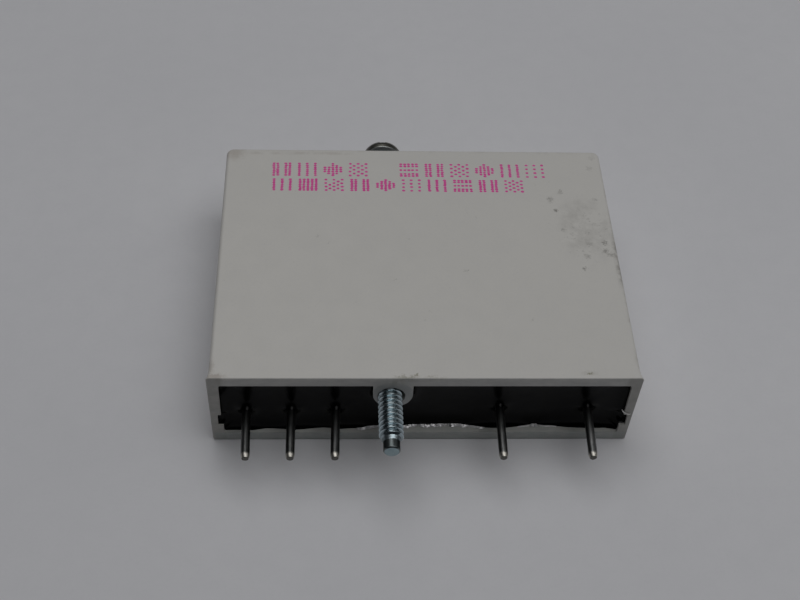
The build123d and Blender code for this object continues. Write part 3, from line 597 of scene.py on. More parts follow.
def build_potting():
    points, polys, _ = welded("potting_compound")
    face_y = pot_lo.y
    front = [i for i, p in enumerate(polys) if all(abs(points[v].y - face_y) < 2e-7 for v in p)]
    front_set = set(front)
    loops = border_loops([polys[i] for i in front])
    loops.sort(key=lambda l: -max(points[v].x for v in l) + min(points[v].x for v in l))
    outer, holes = loops[0], loops[1:]
    rest = [list(polys[i]) for i in range(len(polys)) if i not in front_set]
    # divide the outline finely, in the loop and in the wall faces that share it
    step = 0.11 * MM
    insert, ring = {}, []
    for a, b in zip(outer, outer[1:] + outer[:1]):
        n = max(1, int(round((points[b] - points[a]).length / step)))
        mids = []
        for k in range(1, n):
            mids.append(len(points))
            points.append(points[a].lerp(points[b], k / n))
        insert[(a, b)] = mids
        insert[(b, a)] = mids[::-1]
        ring += [a] + mids
    faces = []
    for p in rest:
        q = []
        for a, b in zip(p, p[1:] + p[:1]):
            q.append(a)
            q += insert.get((a, b), [])
        faces.append(q)
    # the tail tunnels behind the surface are closed at its plane
    for h in holes:
        faces.append(list(h))
    rx = np.array([points[v].x for v in ring]) * 1000
    rz = np.array([points[v].z for v in ring]) * 1000
    contact = wall_contact(rx, rz)
    # even out the contact line along the wall
    for _ in range(6):
        contact = (np.roll(contact, 1) + 2 * contact + np.roll(contact, -1)) / 4
    lip = []
    for i, v in enumerate(ring):
        lip.append(len(points))
        points.append(Vector((points[v].x, MOUTH + contact[i] * MM, points[v].z)))
    k = len(ring)
    for i in range(k):
        j = (i + 1) % k
        faces.append([ring[i], ring[j], lip[j], lip[i]])
    # open surface
    seg_a = np.stack([rx, rz], 1)
    seg_b = np.roll(seg_a, -1, 0)
    gx, gz = np.meshgrid(np.arange(-23.7, 23.8, 0.115), np.arange(1.3, 10.5, 0.1))
    gx[1::2] += 0.0575
    g = np.stack([gx.ravel(), gz.ravel()], 1)
    inside = np.zeros(len(g), bool)
    for (ax, az), (bx, bz) in zip(seg_a, seg_b):
        cross = (az > g[:, 1]) != (bz > g[:, 1])
        if az != bz:
            inside ^= cross & (g[:, 0] < (bx - ax) * (g[:, 1] - az) / (bz - az) + ax)
    g = g[inside]
    # finer rings of points where the potting climbs on each pin
    for px, pz in PIN_AT.values():
        g = g[np.hypot(g[:, 0] - px, g[:, 1] - pz) > 0.90]
        for i, r in enumerate((0.44, 0.50, 0.53, 0.57, 0.61, 0.65, 0.69, 0.74, 0.80)):
            t = (np.arange(44) + 0.5 * (i % 2)) * 2 * math.pi / 44
            g = np.concatenate([g, np.stack([px + r * np.cos(t), pz + r * np.sin(t)], 1)])
    dist = np.full(len(g), 1e9)
    near_c = np.zeros(len(g))
    for s in range(0, len(g), 4000):
        d = np.hypot(g[s:s + 4000, 0:1] - seg_a[None, :, 0], g[s:s + 4000, 1:2] - seg_a[None, :, 1])
        dist[s:s + 4000] = d.min(1)
        w = 1.0 / (d + 0.05) ** 4
        near_c[s:s + 4000] = (w * contact[None, :]).sum(1) / w.sum(1)
    ok = dist > 0.06
    g, dist, near_c = g[ok], dist[ok], near_c[ok]
    level = np.interp(g[:, 0], LEVEL[:, 0], LEVEL[:, 1])
    level = level + 0.06 * smooth_noise(g[:, 0], g[:, 1], 0.22, 1.0) + 0.012 * smooth_noise(g[:, 0], g[:, 1], 0.9, 2.0)
    depth = level - (level - near_c) * np.exp(-(dist / 0.62) ** 0.9)
    for n, (px, pz) in PIN_AT.items():
        r = np.hypot(g[:, 0] - px, (g[:, 1] - pz))
        w = np.exp(-(np.maximum(r - 0.48, 0) / 0.60) ** 1.25)
        depth = depth - (depth - WET[n]) * w
        depth = depth - 0.27 * np.clip(1 - (r - 0.51) / 0.20, 0, 1) ** 1.15
    depth = np.clip(depth, 0.05, 1.62)
    verts2 = [Vector((a, b)) for a, b in seg_a] + [Vector((a, b)) for a, b in g]
    own = lip + list(range(len(points), len(points) + len(g)))
    for (a, b), d in zip(g, depth):
        points.append(Vector((a * MM, MOUTH + d * MM, b * MM)))
    edges = [(i, (i + 1) % k) for i in range(k)]
    o_verts, _, o_faces, o_orig, _, _ = delaunay_2d_cdt(verts2, edges, [], 1, 1e-7)
    number = [own[o[0]] for o in o_orig]
    for f in o_faces:
        faces.append([number[i] for i in f])
    ob = new_object("potting_fill", points, faces)
    outward(ob)
    sharpen(ob, 38, skip=lambda c: c.y < MOUTH + (RECESS - 0.02 * MM) and False)
    m = potting_material()
    ob.data.materials.append(m)
    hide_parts("potting_compound")
    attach(ob, "case")
    return ob


def potting_material():
    m = Mat("black_epoxy_potting")
    x, y, z = m.xyz()
    n = m.noise(0.5, 4.0, 0.6)
    fine = m.noise(6.0, 2.0, 0.5)
    c = m.mix(m.remap(n, 0.3, 0.7), (0.0005, 0.0005, 0.0006, 1), (0.0009, 0.0009, 0.0008, 1))
    # painted reflection of the lit floor in front: the black is lifted faintly on the half under the upper wall, less
    # towards the left
    painted_floor_reflection = m.mul(m.remap(z, 5.6, 7.4, smooth=True), m.remap(z, 10.5, 9.3, 0.2, 1.0), m.remap(x, -16.0, 0.0, 0.0, 1.0), m.remap(m.noise(0.35, 3.0), 0.3, 0.6, 0.6, 1.0))
    c = m.mix(painted_floor_reflection, c, (0.0030, 0.0030, 0.0030, 1))
    speck = m.remap(m.voronoi(1.15), 0.0, 0.055, 1.0, 0.0)
    speck = m.mul(speck, m.remap(m.noise(0.4, 1.0), 0.50, 0.60))
    c = m.mix(m.mul(speck, 0.5), c, (0.10, 0.095, 0.085, 1))
    m.set("Base Color", c)
    m.set("Roughness", m.add(m.remap(n, 0.3, 0.7, 0.19, 0.27), m.mul(speck, 0.3)))
    m.set("IOR", 1.42)
    m.set("Specular IOR Level", 0.15)
    b = m.bump(m.noise(0.7, 2.0, 0.45), 0.5, 0.035)
    b = m.bump(fine, 0.25, 0.002, b)
    m.set("Normal", b)
    return m.mat


def build_flash():
    """Pale scraps of film along the line where the potting meets the lower wall."""
    zw = 1.4
    verts, faces = [], []
    # first x, last x, width, height of the ridge, all in mm
    runs = [(-7.60, -4.95, 0.36, 0.23), (-2.50, -0.42, 0.44, 0.24), (-0.55, 3.05, 0.42, 0.24), (2.95, 5.60, 0.46, 0.24), (5.30, 7.40, 0.26, 0.16),
            (11.25, 12.95, 0.16, 0.10), (12.75, 13.75, 0.40, 0.30), (13.6, 15.9, 0.16, 0.10)]
    for k, (x0, x1, wide, tall) in enumerate(runs):
        n = int((x1 - x0) / 0.06)
        cols = []
        for i in range(n + 1):
            t = i / n
            x = x0 + (x1 - x0) * t
            c = float(np.interp(x, LOWER[:, 0], LOWER[:, 1]))
            env = min(1.0, 5 * t, 5 * (1 - t)) ** 0.6
            a = 0.5 + 0.5 * noise.noise(Vector((x * 2.3, k * 7.1, 0.3)))
            b = 0.5 + 0.5 * noise.noise(Vector((x * 5.9, k * 3.7, 4.3)))
            w = wide * env * (0.55 + 0.60 * a) + 0.05
            front = c - w + 0.06 * (b - 0.5)
            ridge = c - 0.10 + 0.05 * (a - 0.5)
            high = max(0.03, tall * env * (0.70 + 0.50 * b))
            row = []
            # a ramp up to the ridge, then a steep back down to the wall
            for j in range(8):
                s = min(1.0, j / 6)
                d = front + (ridge - front) * s if j < 7 else c + 0.06
                lift = high * s ** 0.9 if j < 7 else 0.01
                if 0 < j < 7:
                    lift += 0.042 * noise.noise(Vector((x * 4.2, d * 4.2, k)))
                row.append((x * MM, MOUTH + d * MM, (zw + max(0.006, lift)) * MM))
            cols.append(row)
        base = len(verts)
        for row in cols:
            verts += row
        m = 8
        for i in range(n):
            for j in range(m - 1):
                q = base + i * m + j
                faces.append((q, q + 1, q + m + 1, q + m))
    ob = new_object("potting_flash", verts, faces)
    solid = ob.modifiers.new("thick", "SOLIDIFY")
    solid.thickness = 0.014 * MM
    solid.offset = -1
    bpy.context.view_layer.objects.active = ob
    bake_modifiers(ob)
    m = Mat("dried_film")
    n = m.noise(3.0, 4.0, 0.65)
    c = m.mix(m.remap(n, 0.35, 0.62), (0.96, 0.95, 0.95, 1), (0.80, 0.78, 0.79, 1))
    hole = m.mul(m.remap(m.voronoi(1.9), 0.05, 0.11, 1.0, 0.0), m.remap(m.noise(0.8, 1.0), 0.45, 0.55))
    wob = m.vec("SUBTRACT", m.noise(6.0, 2.0, 0.6, color=True), (0.5, 0.5, 0.5))
    flat = m.vec("ADD", m.vec("MULTIPLY", m.p, (1.0, 1.0, 0.0)), m.vec("MULTIPLY", wob, (0.5, 0.5, 0.0)))
    for hx, hd, hr in ((-1.69, 0.86, 0.17), (1.72, 0.93, 0.13), (3.36, 0.86, 0.19), (0.62, 0.98, 0.12), (5.0, 0.92, 0.10), (13.28, 0.80, 0.09)):
        hole = m.most(hole, m.spot(flat, hx, ym(hd), hr, 0.5))
    c = m.mix(hole, c, (0.02, 0.02, 0.02, 1))
    m.set("Base Color", c)
    m.set("Metallic", m.mul(m.remap(m.noise(2.2, 3.0, 0.6), 0.36, 0.60, 0.34, 0.66), m.math("SUBTRACT", 1.0, hole)))
    m.set("Roughness", m.remap(n, 0.2, 0.8, 0.34, 0.44))
    m.set("IOR", 1.90)
    m.set("Specular IOR Level", 0.8)
    m.set("Normal", m.bump(m.noise(6.0, 3.0), 0.6, 0.03))
    ob.data.materials.append(m.mat)
    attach(ob, "case")
    return ob


def bake_modifiers(ob):
    """Replaces the mesh by the result of its modifiers."""
    deps = bpy.context.evaluated_depsgraph_get()
    ev = ob.evaluated_get(deps)
    me = bpy.data.meshes.new_from_object(ev, preserve_all_data_layers=True, depsgraph=deps)
    old = ob.data
    ob.modifiers.clear()
    ob.data = me
    me.name = old.name + "_done"
    bpy.data.meshes.remove(old)


def build_curl():
    """A thin scrap of moulding flash that curls off the right-hand wall."""
    path = [(24.02, 0.00, 5.08), (23.80, -0.10, 5.10), (23.52, -0.13, 5.20), (23.24, -0.10, 5.38), (23.02, -0.02, 5.58), (22.86, 0.08, 5.82)]
    pts = [Vector((a * MM, MOUTH + d * MM, c * MM)) for a, d, c in path]
    dense = []
    for i in range(len(pts) - 1):
        p0, p1, p2, p3 = pts[max(0, i - 1)], pts[i], pts[i + 1], pts[min(len(pts) - 1, i + 2)]
        for s in range(6):
            t = s / 6
            dense.append(0.5 * ((2 * p1) + (p2 - p0) * t + (2 * p0 - 5 * p1 + 4 * p2 - p3) * t * t + (3 * p1 - p0 - 3 * p2 + p3) * t ** 3))
    dense.append(pts[-1])
    verts, faces = [], []
    n = 10
    for i, p in enumerate(dense):
        d = (dense[min(i + 1, len(dense) - 1)] - dense[max(i - 1, 0)]).normalized()
        u = d.cross(Vector((0, -1, 0.3))).normalized()
        v = d.cross(u)
        taper = math.sin(math.pi * (0.12 + 0.84 * i / (len(dense) - 1))) ** 0.5
        for k in range(n):
            a = 2 * math.pi * k / n
            verts.append(p + u * math.cos(a) * 0.095 * MM * taper + v * math.sin(a) * 0.035 * MM * taper)
    for i in range(len(dense) - 1):
        for k in range(n):
            a, b = i * n + k, i * n + (k + 1) % n
            faces.append((a, b, b + n, a + n))
    faces.append(tuple(range(n))[::-1])
    faces.append(tuple(range((len(dense) - 1) * n, len(dense) * n)))
    ob = new_object("wall_flash_curl", verts, faces)
    outward(ob)
    m = Mat("moulding_flash")
    n1 = m.noise(3.0, 3.0)
    m.set("Base Color", m.mix(m.remap(n1, 0.3, 0.7), (0.76, 0.75, 0.73, 1), (0.62, 0.61, 0.59, 1)))
    m.set("Roughness", m.remap(n1, 0.2, 0.8, 0.30, 0.5))
    m.set("Normal", m.bump(m.noise(9.0, 2.0), 0.4, 0.008))
    ob.data.materials.append(m.mat)
    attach(ob, "case")
    return ob


# ------------------------------------------------------------------ turned parts
def lathe(name, rows, seg, cx, cz, radius=None, thread=None):
    """Turns rows of (depth mm, radius mm) about the line x = cx, z = cz, running along Y. Angles start at +Z and go to +X."""
    verts, faces = [], []
    ang = np.arange(seg) * 2 * math.pi / seg
    for d, r in rows:
        for a in ang:
            rr = r if thread is None else thread(d, r, a)
            verts.append(((cx + rr * math.sin(a)) * MM, MOUTH + d * MM, (cz + rr * math.cos(a)) * MM))
    for i in range(len(rows) - 1):
        for k in range(seg):
            a, b = i * seg + k, i * seg + (k + 1) % seg
            faces.append((a, b, b + seg, a + seg))
    # fans close the ends, so that no face has more than four corners
    for end, row in ((0, rows[0]), (len(rows) - 1, rows[-1])):
        c = len(verts)
        verts.append((cx * MM, MOUTH + row[0] * MM, cz * MM))
        for k in range(seg):
            a, b = end * seg + k, end * seg + (k + 1) % seg
            faces.append((a, b, c) if end else (b, a, c))
    ob = new_object(name, verts, faces)
    outward(ob)
    return ob


PITCH, MAJOR, MINOR = 0.635, 1.39, 1.07
THREAD_0, THREAD_1 = -5.9, 4.7


def screw_radius(d, r, a):
    if not (THREAD_0 <= d <= THREAD_1) or r < 0:
        return abs(r)
    t = (d / PITCH - a / (2 * math.pi)) % 1.0
    t = min(t, 1 - t)
    s = min(1.0, max(0.0, (t - 0.055) / 0.31))
    s = 0.80 * s + 0.20 * s * s * (3 - 2 * s)
    v = MAJOR - (MAJOR - MINOR) * s
    start = 1.075 + (d - THREAD_0) * 0.95
    stop = 1.0 + (THREAD_1 - d) * 1.2
    return min(v, max(0.94, start), max(1.0, stop))


def build_screw():
    tip = screw_lo.y * 1000 - MOUTH * 1000
    # dog point with a small broken edge
    rows = [(tip, -0.79), (tip + 0.004, -0.805), (tip + 0.016, -0.82), (tip + 0.045, -0.845), (tip + 0.085, -0.88), (tip + 0.115, -0.907),
            (tip + 0.14, -0.926), (tip + 0.165, -0.937)]
    for d in (tip + 0.19, tip + 0.30, tip + 0.5, tip + 0.9, tip + 1.1, tip + 1.19, tip + 1.22):
        rows.append((d, -0.94))
    # short cone up to the first turn
    rows += [(tip + 1.26, -0.950), (tip + 1.31, -0.968), (tip + 1.45, -1.024), (tip + 1.565, -1.070)]
    n = int(round((THREAD_1 - THREAD_0) / (PITCH / 22)))
    for k in range(n + 1):
        rows.append((THREAD_0 + (THREAD_1 - THREAD_0) * k / n, 1.0))
    head0 = 36.8 + 1.35
    rows += [(4.74, -1.0), (5.2, -1.0), (5.9, -1.0), (6.36, -1.0), (6.40, -1.03), (6.42, -1.17), (6.45, -1.2)]
    for d in np.linspace(8, 38.0, 16):
        rows.append((float(d), -1.2))
    rows += [(head0 - 0.10, -1.22), (head0 - 0.02, -1.30), (head0, -1.40)]
    for r in (1.7, 2.0, 2.25):
        rows.append((head0, -r))
    for k in range(6):
        a = k / 5 * math.pi / 2
        rows.append((head0 + 0.14 * (1 - math.cos(a)), -(2.36 + 0.14 * math.sin(a))))
    rows += [(head0 + 0.30, -2.5), (head0 + 0.46, -2.5)]
    # arc of the pan head through the CAD's three points
    p0, p1, p2 = (2.5, 0.62), (2.0, 1.46), (0.9, 1.9)
    ax, ay, bx, by, cx_, cy_ = *p0, *p1, *p2
    dd = 2 * (ax * (by - cy_) + bx * (cy_ - ay) + cx_ * (ay - by))
    ux = ((ax**2 + ay**2) * (by - cy_) + (bx**2 + by**2) * (cy_ - ay) + (cx_**2 + cy_**2) * (ay - by)) / dd
    uy = ((ax**2 + ay**2) * (cx_ - bx) + (bx**2 + by**2) * (ax - cx_) + (cx_**2 + cy_**2) * (bx - ax)) / dd
    rad = math.hypot(ax - ux, ay - uy)
    a0, a1 = math.atan2(ay - uy, ax - ux), math.atan2(cy_ - uy, cx_ - ux)
    for k in range(0, 19):
        a = a0 + (a1 - a0) * k / 18
        rows.append((head0 + uy + rad * math.sin(a), -(ux + rad * math.cos(a))))
    for r in (0.72, 0.54, 0.36, 0.18):
        rows.append((head0 + 1.9, -r))
    ob = lathe("screw_turned", rows, 80, SCREW_X * 1000, SCREW_Z * 1000, thread=screw_radius)
    # driving slot, cut straight across the head, with slightly rounded corners at its floor
    cutter = bmesh.new()
    bmesh.ops.create_cube(cutter, size=1.0)
    bmesh.ops.scale(cutter, vec=(0.75 * MM, 2.0 * MM, 7.0 * MM), verts=cutter.verts)
    bmesh.ops.translate(cutter, vec=(SCREW_X, MOUTH + (head0 + 0.95 + 1.0) * MM, SCREW_Z), verts=cutter.verts)
    bottom = [e for e in cutter.edges if all(v.co.y < MOUTH + (head0 + 1.2) * MM for v in e.verts) and abs(e.verts[0].co.z - e.verts[1].co.z) > 1 * MM]
    bmesh.ops.bevel(cutter, geom=bottom, offset=0.10 * MM, segments=4, profile=0.5, affect="EDGES")
    cm = bpy.data.meshes.new("slot_cutter")
    cutter.to_mesh(cm)
    cutter.free()
    co = bpy.data.objects.new("slot_cutter", cm)
    bpy.context.scene.collection.objects.link(co)
    mod = ob.modifiers.new("slot", "BOOLEAN")
    mod.object = co
    mod.operation = "DIFFERENCE"
    mod.solver = "EXACT"
    bpy.context.view_layer.update()
    bake_modifiers(ob)
    bpy.data.objects.remove(co)
    ob.data.polygons.foreach_set("use_smooth", [True] * len(ob.data.polygons))
    lo, hi = MOUTH + (THREAD_0 - 0.01) * MM, MOUTH + (THREAD_1 + 0.01) * MM
    sharpen(ob, 33, skip=lambda c: lo < c.y < hi)
    ob.data.materials.clear()
    ob.data.materials.append(zinc_material())
    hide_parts("hold_down_screw")
    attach(ob, "screw")
    return ob


def zinc_material():
    m = Mat("zinc_plated_steel")
    x, y, z = m.xyz()
    dx = m.math("SUBTRACT", x, SCREW_X * 1000)
    dz = m.math("SUBTRACT", z, SCREW_Z * 1000)
    r = m.math("SQRT", m.add(m.mul(dx, dx), m.mul(dz, dz)))
    n = m.noise(1.6, 4.0, 0.6)
    fine = m.noise(14.0, 3.0, 0.6)
    turned = m.noise(1.0, 3.0, 0.6, stretch=(1.5, 22.0, 1.5))
    blue = m.mix(m.remap(n, 0.3, 0.7), (0.50, 0.61, 0.655, 1), (0.58, 0.66, 0.69, 1))
    blue = m.mix(m.remap(fine, 0.45, 0.75, 0.0, 0.35), blue, (0.32, 0.40, 0.44, 1))
    # the thread's roots are painted darker: painted shade in the hollows between the turns
    threaded = m.mul(m.remap(y, ym(-5.95), ym(-5.7)), m.remap(y, ym(4.9), ym(4.6)))
    root_shade = m.mul(m.remap(r, 1.35, 1.17, 0.0, 1.0), threaded)
    blue = m.mix(m.mul(root_shade, 0.58), blue, (0.045, 0.058, 0.066, 1))
    # the head is darker and warmer, with rubbed lips
    head = m.remap(y, ym(38.0), ym(38.3))
    olive = m.mix(m.remap(n, 0.3, 0.7), (0.240, 0.234, 0.208, 1), (0.185, 0.180, 0.160, 1))
    olive = m.mix(m.remap(m.noise(2.6, 3.0), 0.58, 0.72), olive, (0.34, 0.33, 0.30, 1))
    # the dog point and the cone before it are painted darker and made duller, painted shade that dims their
    # reflections; the cut end face is plainer
    blunt = m.mul(m.remap(y, ym(-5.80), ym(-5.95)), m.remap(y, ym(-7.49), ym(-7.46)))
    blue = m.mix(m.mul(blunt, 0.45), blue, (0.17, 0.19, 0.20, 1))
    cut = m.remap(y, ym(-7.475), ym(-7.492))
    blue = m.mix(cut, blue, m.mix(m.remap(n, 0.3, 0.7), (0.34, 0.43, 0.455, 1), (0.235, 0.305, 0.33, 1)))
    # painted shade: the dog's shank is painted near black, a painted dark reflection
    dog = m.mul(m.remap(y, ym(-6.30), ym(-6.36)), m.remap(y, ym(-7.492), ym(-7.475)))
    blue = m.mix(m.mul(dog, m.remap(fine, 0.3, 0.7, 0.85, 0.65)), blue, (0.080, 0.085, 0.078, 1))
    # the bearing face under the head is duller and paler
    under = m.mul(m.remap(y, ym(38.05), ym(38.12)), m.remap(y, ym(38.24), ym(38.16)))
    c = m.mix(m.mul(under, 0.8), m.mix(head, blue, olive), (0.46, 0.45, 0.465, 1))
    m.set("Base Color", c)
    m.set("Metallic", 1.0)
    rough = m.add(m.remap(n, 0.2, 0.8, 0.07, 0.14), m.mul(m.remap(fine, 0.4, 0.8), 0.07), m.mul(root_shade, 0.12), m.mul(head, 0.26), m.mul(blunt, 0.20), m.mul(under, 0.22))
    m.set("Roughness", rough)
    b = m.bump(turned, 0.25, 0.006)
    b = m.bump(fine, 0.35, 0.004, b)
    m.set("Normal", b)
    return m.mat


def pin_material(seed):
    tone = (1.0, 0.85, 0.62, 0.58, 0.55)[seed - 1]
    m = Mat("pin_plating_%d" % seed)
    x, y, z = m.xyz()
    v = m.vec("ADD", m.p, (seed * 3.7, seed * 1.3, 0.0))
    drawn = m.noise(1.0, 4.0, 0.65, v=v, stretch=(9.0, 0.35, 9.0))
    blot = m.noise(1.1, 4.0, 0.6, v=v)
    fine = m.noise(12.0, 3.0, 0.6, v=v)
    c = m.mix(m.remap(blot, 0.3, 0.7), tuple(v * tone for v in (0.180, 0.183, 0.182)) + (1,), tuple(v * tone for v in (0.120, 0.123, 0.124)) + (1,))
    c = m.mix(m.remap(drawn, 0.52, 0.74, 0.0, 0.6), c, tuple(v * tone for v in (0.29, 0.285, 0.27)) + (1,))
    # painted highlight: the tapered tip is painted much paler than the shaft, where the cone catches the overhead light
    tip = m.remap(y, ym(-5.45), ym(-5.75))
    c = m.mix(m.mul(tip, m.remap(blot, 0.2, 0.7, 1.0, 0.6)), c, (0.62, 0.59, 0.53, 1))
    cut = m.remap(y, ym(-6.10), ym(-6.14))
    c = m.mix(cut, c, m.mix(m.remap(fine, 0.35, 0.7), (0.155, 0.150, 0.135, 1), (0.085, 0.083, 0.078, 1)))
    # painted shade: the pin is darkened where it runs into the recess of the mouth
    base = m.remap(y, ym(-0.6), ym(0.6))
    c = m.mix(m.mul(base, 0.65), c, (0.035, 0.035, 0.037, 1))
    m.set("Base Color", c)
    m.set("Metallic", 1.0)
    m.set("Roughness", m.add(m.remap(drawn, 0.2, 0.8, 0.26, 0.42), m.mul(m.remap(fine, 0.4, 0.8), 0.10)))
    b = m.bump(drawn, 0.35, 0.008)
    b = m.bump(fine, 0.3, 0.003, b)
    m.set("Normal", b)
    return m.mat


BEND = {"field_pin_1": -0.11, "field_pin_2": -0.06, "logic_pin_3": -0.10, "logic_pin_4": 0.0, "logic_pin_5": 0.12}


def build_pin(name, seed):
    """A round pin, bent a hair at its free end and flattened at the other into a solder tail, as one closed skin."""
    lo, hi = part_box(name)
    cx, cz = (lo.x + hi.x) / 2 * 1000, hi.z * 1000 - 0.508
    R, seg = 0.508, 48
    tip = lo.y * 1000 - MOUTH * 1000
    rows = []
    for k in range(5):
        a = k / 4 * math.pi / 2
        rows.append((tip + 0.045 * (1 - math.cos(a)), 0.352 + 0.045 * math.sin(a)))
    for k in range(1, 9):
        t = k / 8
        rows.append((tip + 0.045 + 0.50 * t, 0.397 + (R - 0.397) * math.sin(t * math.pi / 2) ** 0.92))
    rows += [(d, R) for d in (tip + 1.0, tip + 2.0, tip + 3.0, tip + 4.0, tip + 5.0, tip + 6.0, 0.6, 1.2, 1.7)]
    ang = [2 * math.pi * k / seg for k in range(seg)]
    verts, faces, count = [], [], 0
    for d, r in rows:
        lean = BEND[name] * min(1.0, max(0.0, (0.6 - d) / 6.7)) ** 1.2
        verts += [((cx + lean + r * math.sin(a)) * MM, MOUTH + d * MM, (cz + r * math.cos(a)) * MM) for a in ang]
        count += 1
    # the tail: 1.30 x 0.70, standing on the board
    zb = lo.z * 1000
    tw, tt = (hi.x - lo.x) * 1000 / 2, 0.70
    def flat_ring(d, grow, drop=0.0):
        out = []
        for a in ang:
            sx, sz = math.sin(a), math.cos(a)
            k = 1.0 / max(abs(sx) / (tw - 0.004), abs(sz) / (tt / 2 - 0.004))
            fx, fz = sx * k, sz * k + zb + tt / 2 + 0.002
            rx_, rz_ = R * sx, R * sz + cz
            x_, z_ = rx_ + (fx - rx_) * grow, rz_ + (fz - rz_) * grow
            if drop and z_ > zb + tt - drop:
                z_ = zb + tt - drop
            out.append(((cx + x_) * MM, MOUTH + d * MM, z_ * MM))
        return out
    for d, grow, drop in ((1.76, 0.45, 0), (1.85, 0.85, 0), (1.95, 1.0, 0), (4.0, 1.0, 0), (6.1, 1.0, 0), (6.39, 1.0, 0.28)):
        verts += flat_ring(d, grow, drop)
        count += 1
    for i in range(count - 1):
        for k in range(seg):
            a, b = i * seg + k, i * seg + (k + 1) % seg
            faces.append((a, b, b + seg, a + seg))
    for end in (0, count - 1):
        c = len(verts)
        ring = np.array(verts[end * seg:(end + 1) * seg])
        verts.append(tuple(ring.mean(0)))
        for k in range(seg):
            a, b = end * seg + k, end * seg + (k + 1) % seg
            faces.append((a, b, c) if end else (b, a, c))
    ob = new_object(name.replace("_pin_", "_contact_pin_"), verts, faces)
    outward(ob)
    sharpen(ob, 38)
    ob.data.materials.append(pin_material(seed))
    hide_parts(name)
    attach(ob, "case")
    return ob


# ------------------------------------------------------------------ materials of the pieces inside
def paint(node, mat):
    ob = NODES[node]
    if not ob.material_slots:
        ob.data.materials.append(mat)
    for s in ob.material_slots:
        s.material = mat


def laminate():
    m = Mat("glass_epoxy_board")
    x, y, z = m.xyz()
    weave_x = m.math("SINE", m.math("MULTIPLY", x, 2 * math.pi / 0.55))
    weave_y = m.math("SINE", m.math("MULTIPLY", y, 2 * math.pi / 0.55))
    weave = m.mul(weave_x, weave_y)
    n = m.noise(0.4, 3.0)
    c = m.mix(m.remap(weave, -1.0, 1.0), (0.205, 0.285, 0.075, 1), (0.255, 0.335, 0.105, 1))
    c = m.mix(m.remap(n, 0.4, 0.7, 0.0, 0.4), c, (0.17, 0.24, 0.065, 1))
    edge = m.mul(m.remap(z, 3.15, 3.3), m.remap(z, 4.65, 4.5))
    c = m.mix(m.mul(edge, 0.5), c, (0.52, 0.47, 0.27, 1))
    m.set("Base Color", c)
    m.set("Roughness", m.remap(n, 0.2, 0.8, 0.32, 0.5))
    m.set("Normal", m.bump(weave, 0.3, 0.02))
    return m.mat


def epoxy_package():
    m = Mat("moulded_black_package")
    n = m.noise(5.0, 3.0, 0.6)
    c = m.mix(m.remap(n, 0.35, 0.7), (0.018, 0.018, 0.019, 1), (0.032, 0.031, 0.031, 1))
    m.set("Base Color", c)
    m.set("Roughness", m.remap(n, 0.2, 0.8, 0.48, 0.66))
    m.set("Normal", m.bump(m.noise(11.0, 2.0), 0.5, 0.015))
    return m.mat


def tinned():
    m = Mat("tinned_copper_lead")
    n = m.noise(3.0, 4.0, 0.6)
    c = m.mix(m.remap(n, 0.3, 0.75), (0.72, 0.71, 0.68, 1), (0.52, 0.50, 0.46, 1))
    m.set("Base Color", c)
    m.set("Metallic", 1.0)
    m.set("Roughness", m.remap(n, 0.2, 0.8, 0.22, 0.40))
    m.set("Normal", m.bump(m.noise(10.0, 3.0), 0.3, 0.006))
    return m.mat


def solder_material():
    m = Mat("solder_alloy")
    n = m.noise(2.0, 4.0, 0.6)
    c = m.mix(m.remap(n, 0.3, 0.7), (0.66, 0.66, 0.65, 1), (0.47, 0.46, 0.45, 1))
    c = m.mix(m.remap(m.noise(0.7, 2.0), 0.60, 0.72, 0.0, 0.6), c, (0.34, 0.25, 0.12, 1))
    m.set("Base Color", c)
    m.set("Metallic", 1.0)
    m.set("Roughness", m.remap(n, 0.2, 0.8, 0.16, 0.34))
    m.set("Normal", m.bump(m.noise(4.0, 3.0), 0.4, 0.02))
    return m.mat


def resistor(name, body, bands, x_bands):
    m = Mat(name)
    x, y, z = m.xyz()
    n = m.noise(1.5, 4.0)
    c = m.mix(m.remap(n, 0.3, 0.7), body, tuple(v * 0.82 for v in body[:3]) + (1,))
    for bx, color in zip(x_bands, bands):
        d = m.math("ABSOLUTE", m.math("SUBTRACT", x, bx))
        c = m.mix(m.remap(m.add(d, m.mul(n, 0.05)), 0.24, 0.27, 1.0, 0.0), c, color)
    m.set("Base Color", c)
    m.set("Roughness", m.remap(n, 0.2, 0.8, 0.28, 0.42))
    m.set("Normal", m.bump(m.noise(2.2, 3.0), 0.4, 0.03))
    return m.mat


def zener():
    m = Mat("diode_glass_body")
    x, y, z = m.xyz()
    lo, hi = (c * 1000 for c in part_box("zener_diode_body"))
    n = m.noise(2.0, 3.0)
    glass = m.mix(m.remap(n, 0.3, 0.7), (0.40, 0.145, 0.035, 1), (0.30, 0.095, 0.022, 1))
    band = m.remap(m.math("ABSOLUTE", m.math("SUBTRACT", x, hi.x - 0.75)), 0.26, 0.30, 1.0, 0.0)
    c = m.mix(band, glass, (0.012, 0.012, 0.013, 1))
    m.set("Base Color", c)
    m.set("Roughness", m.remap(n, 0.2, 0.8, 0.08, 0.18))
    m.set("Coat Weight", 0.5)
    m.set("Normal", m.bump(n, 0.15, 0.02))
    return m.mat


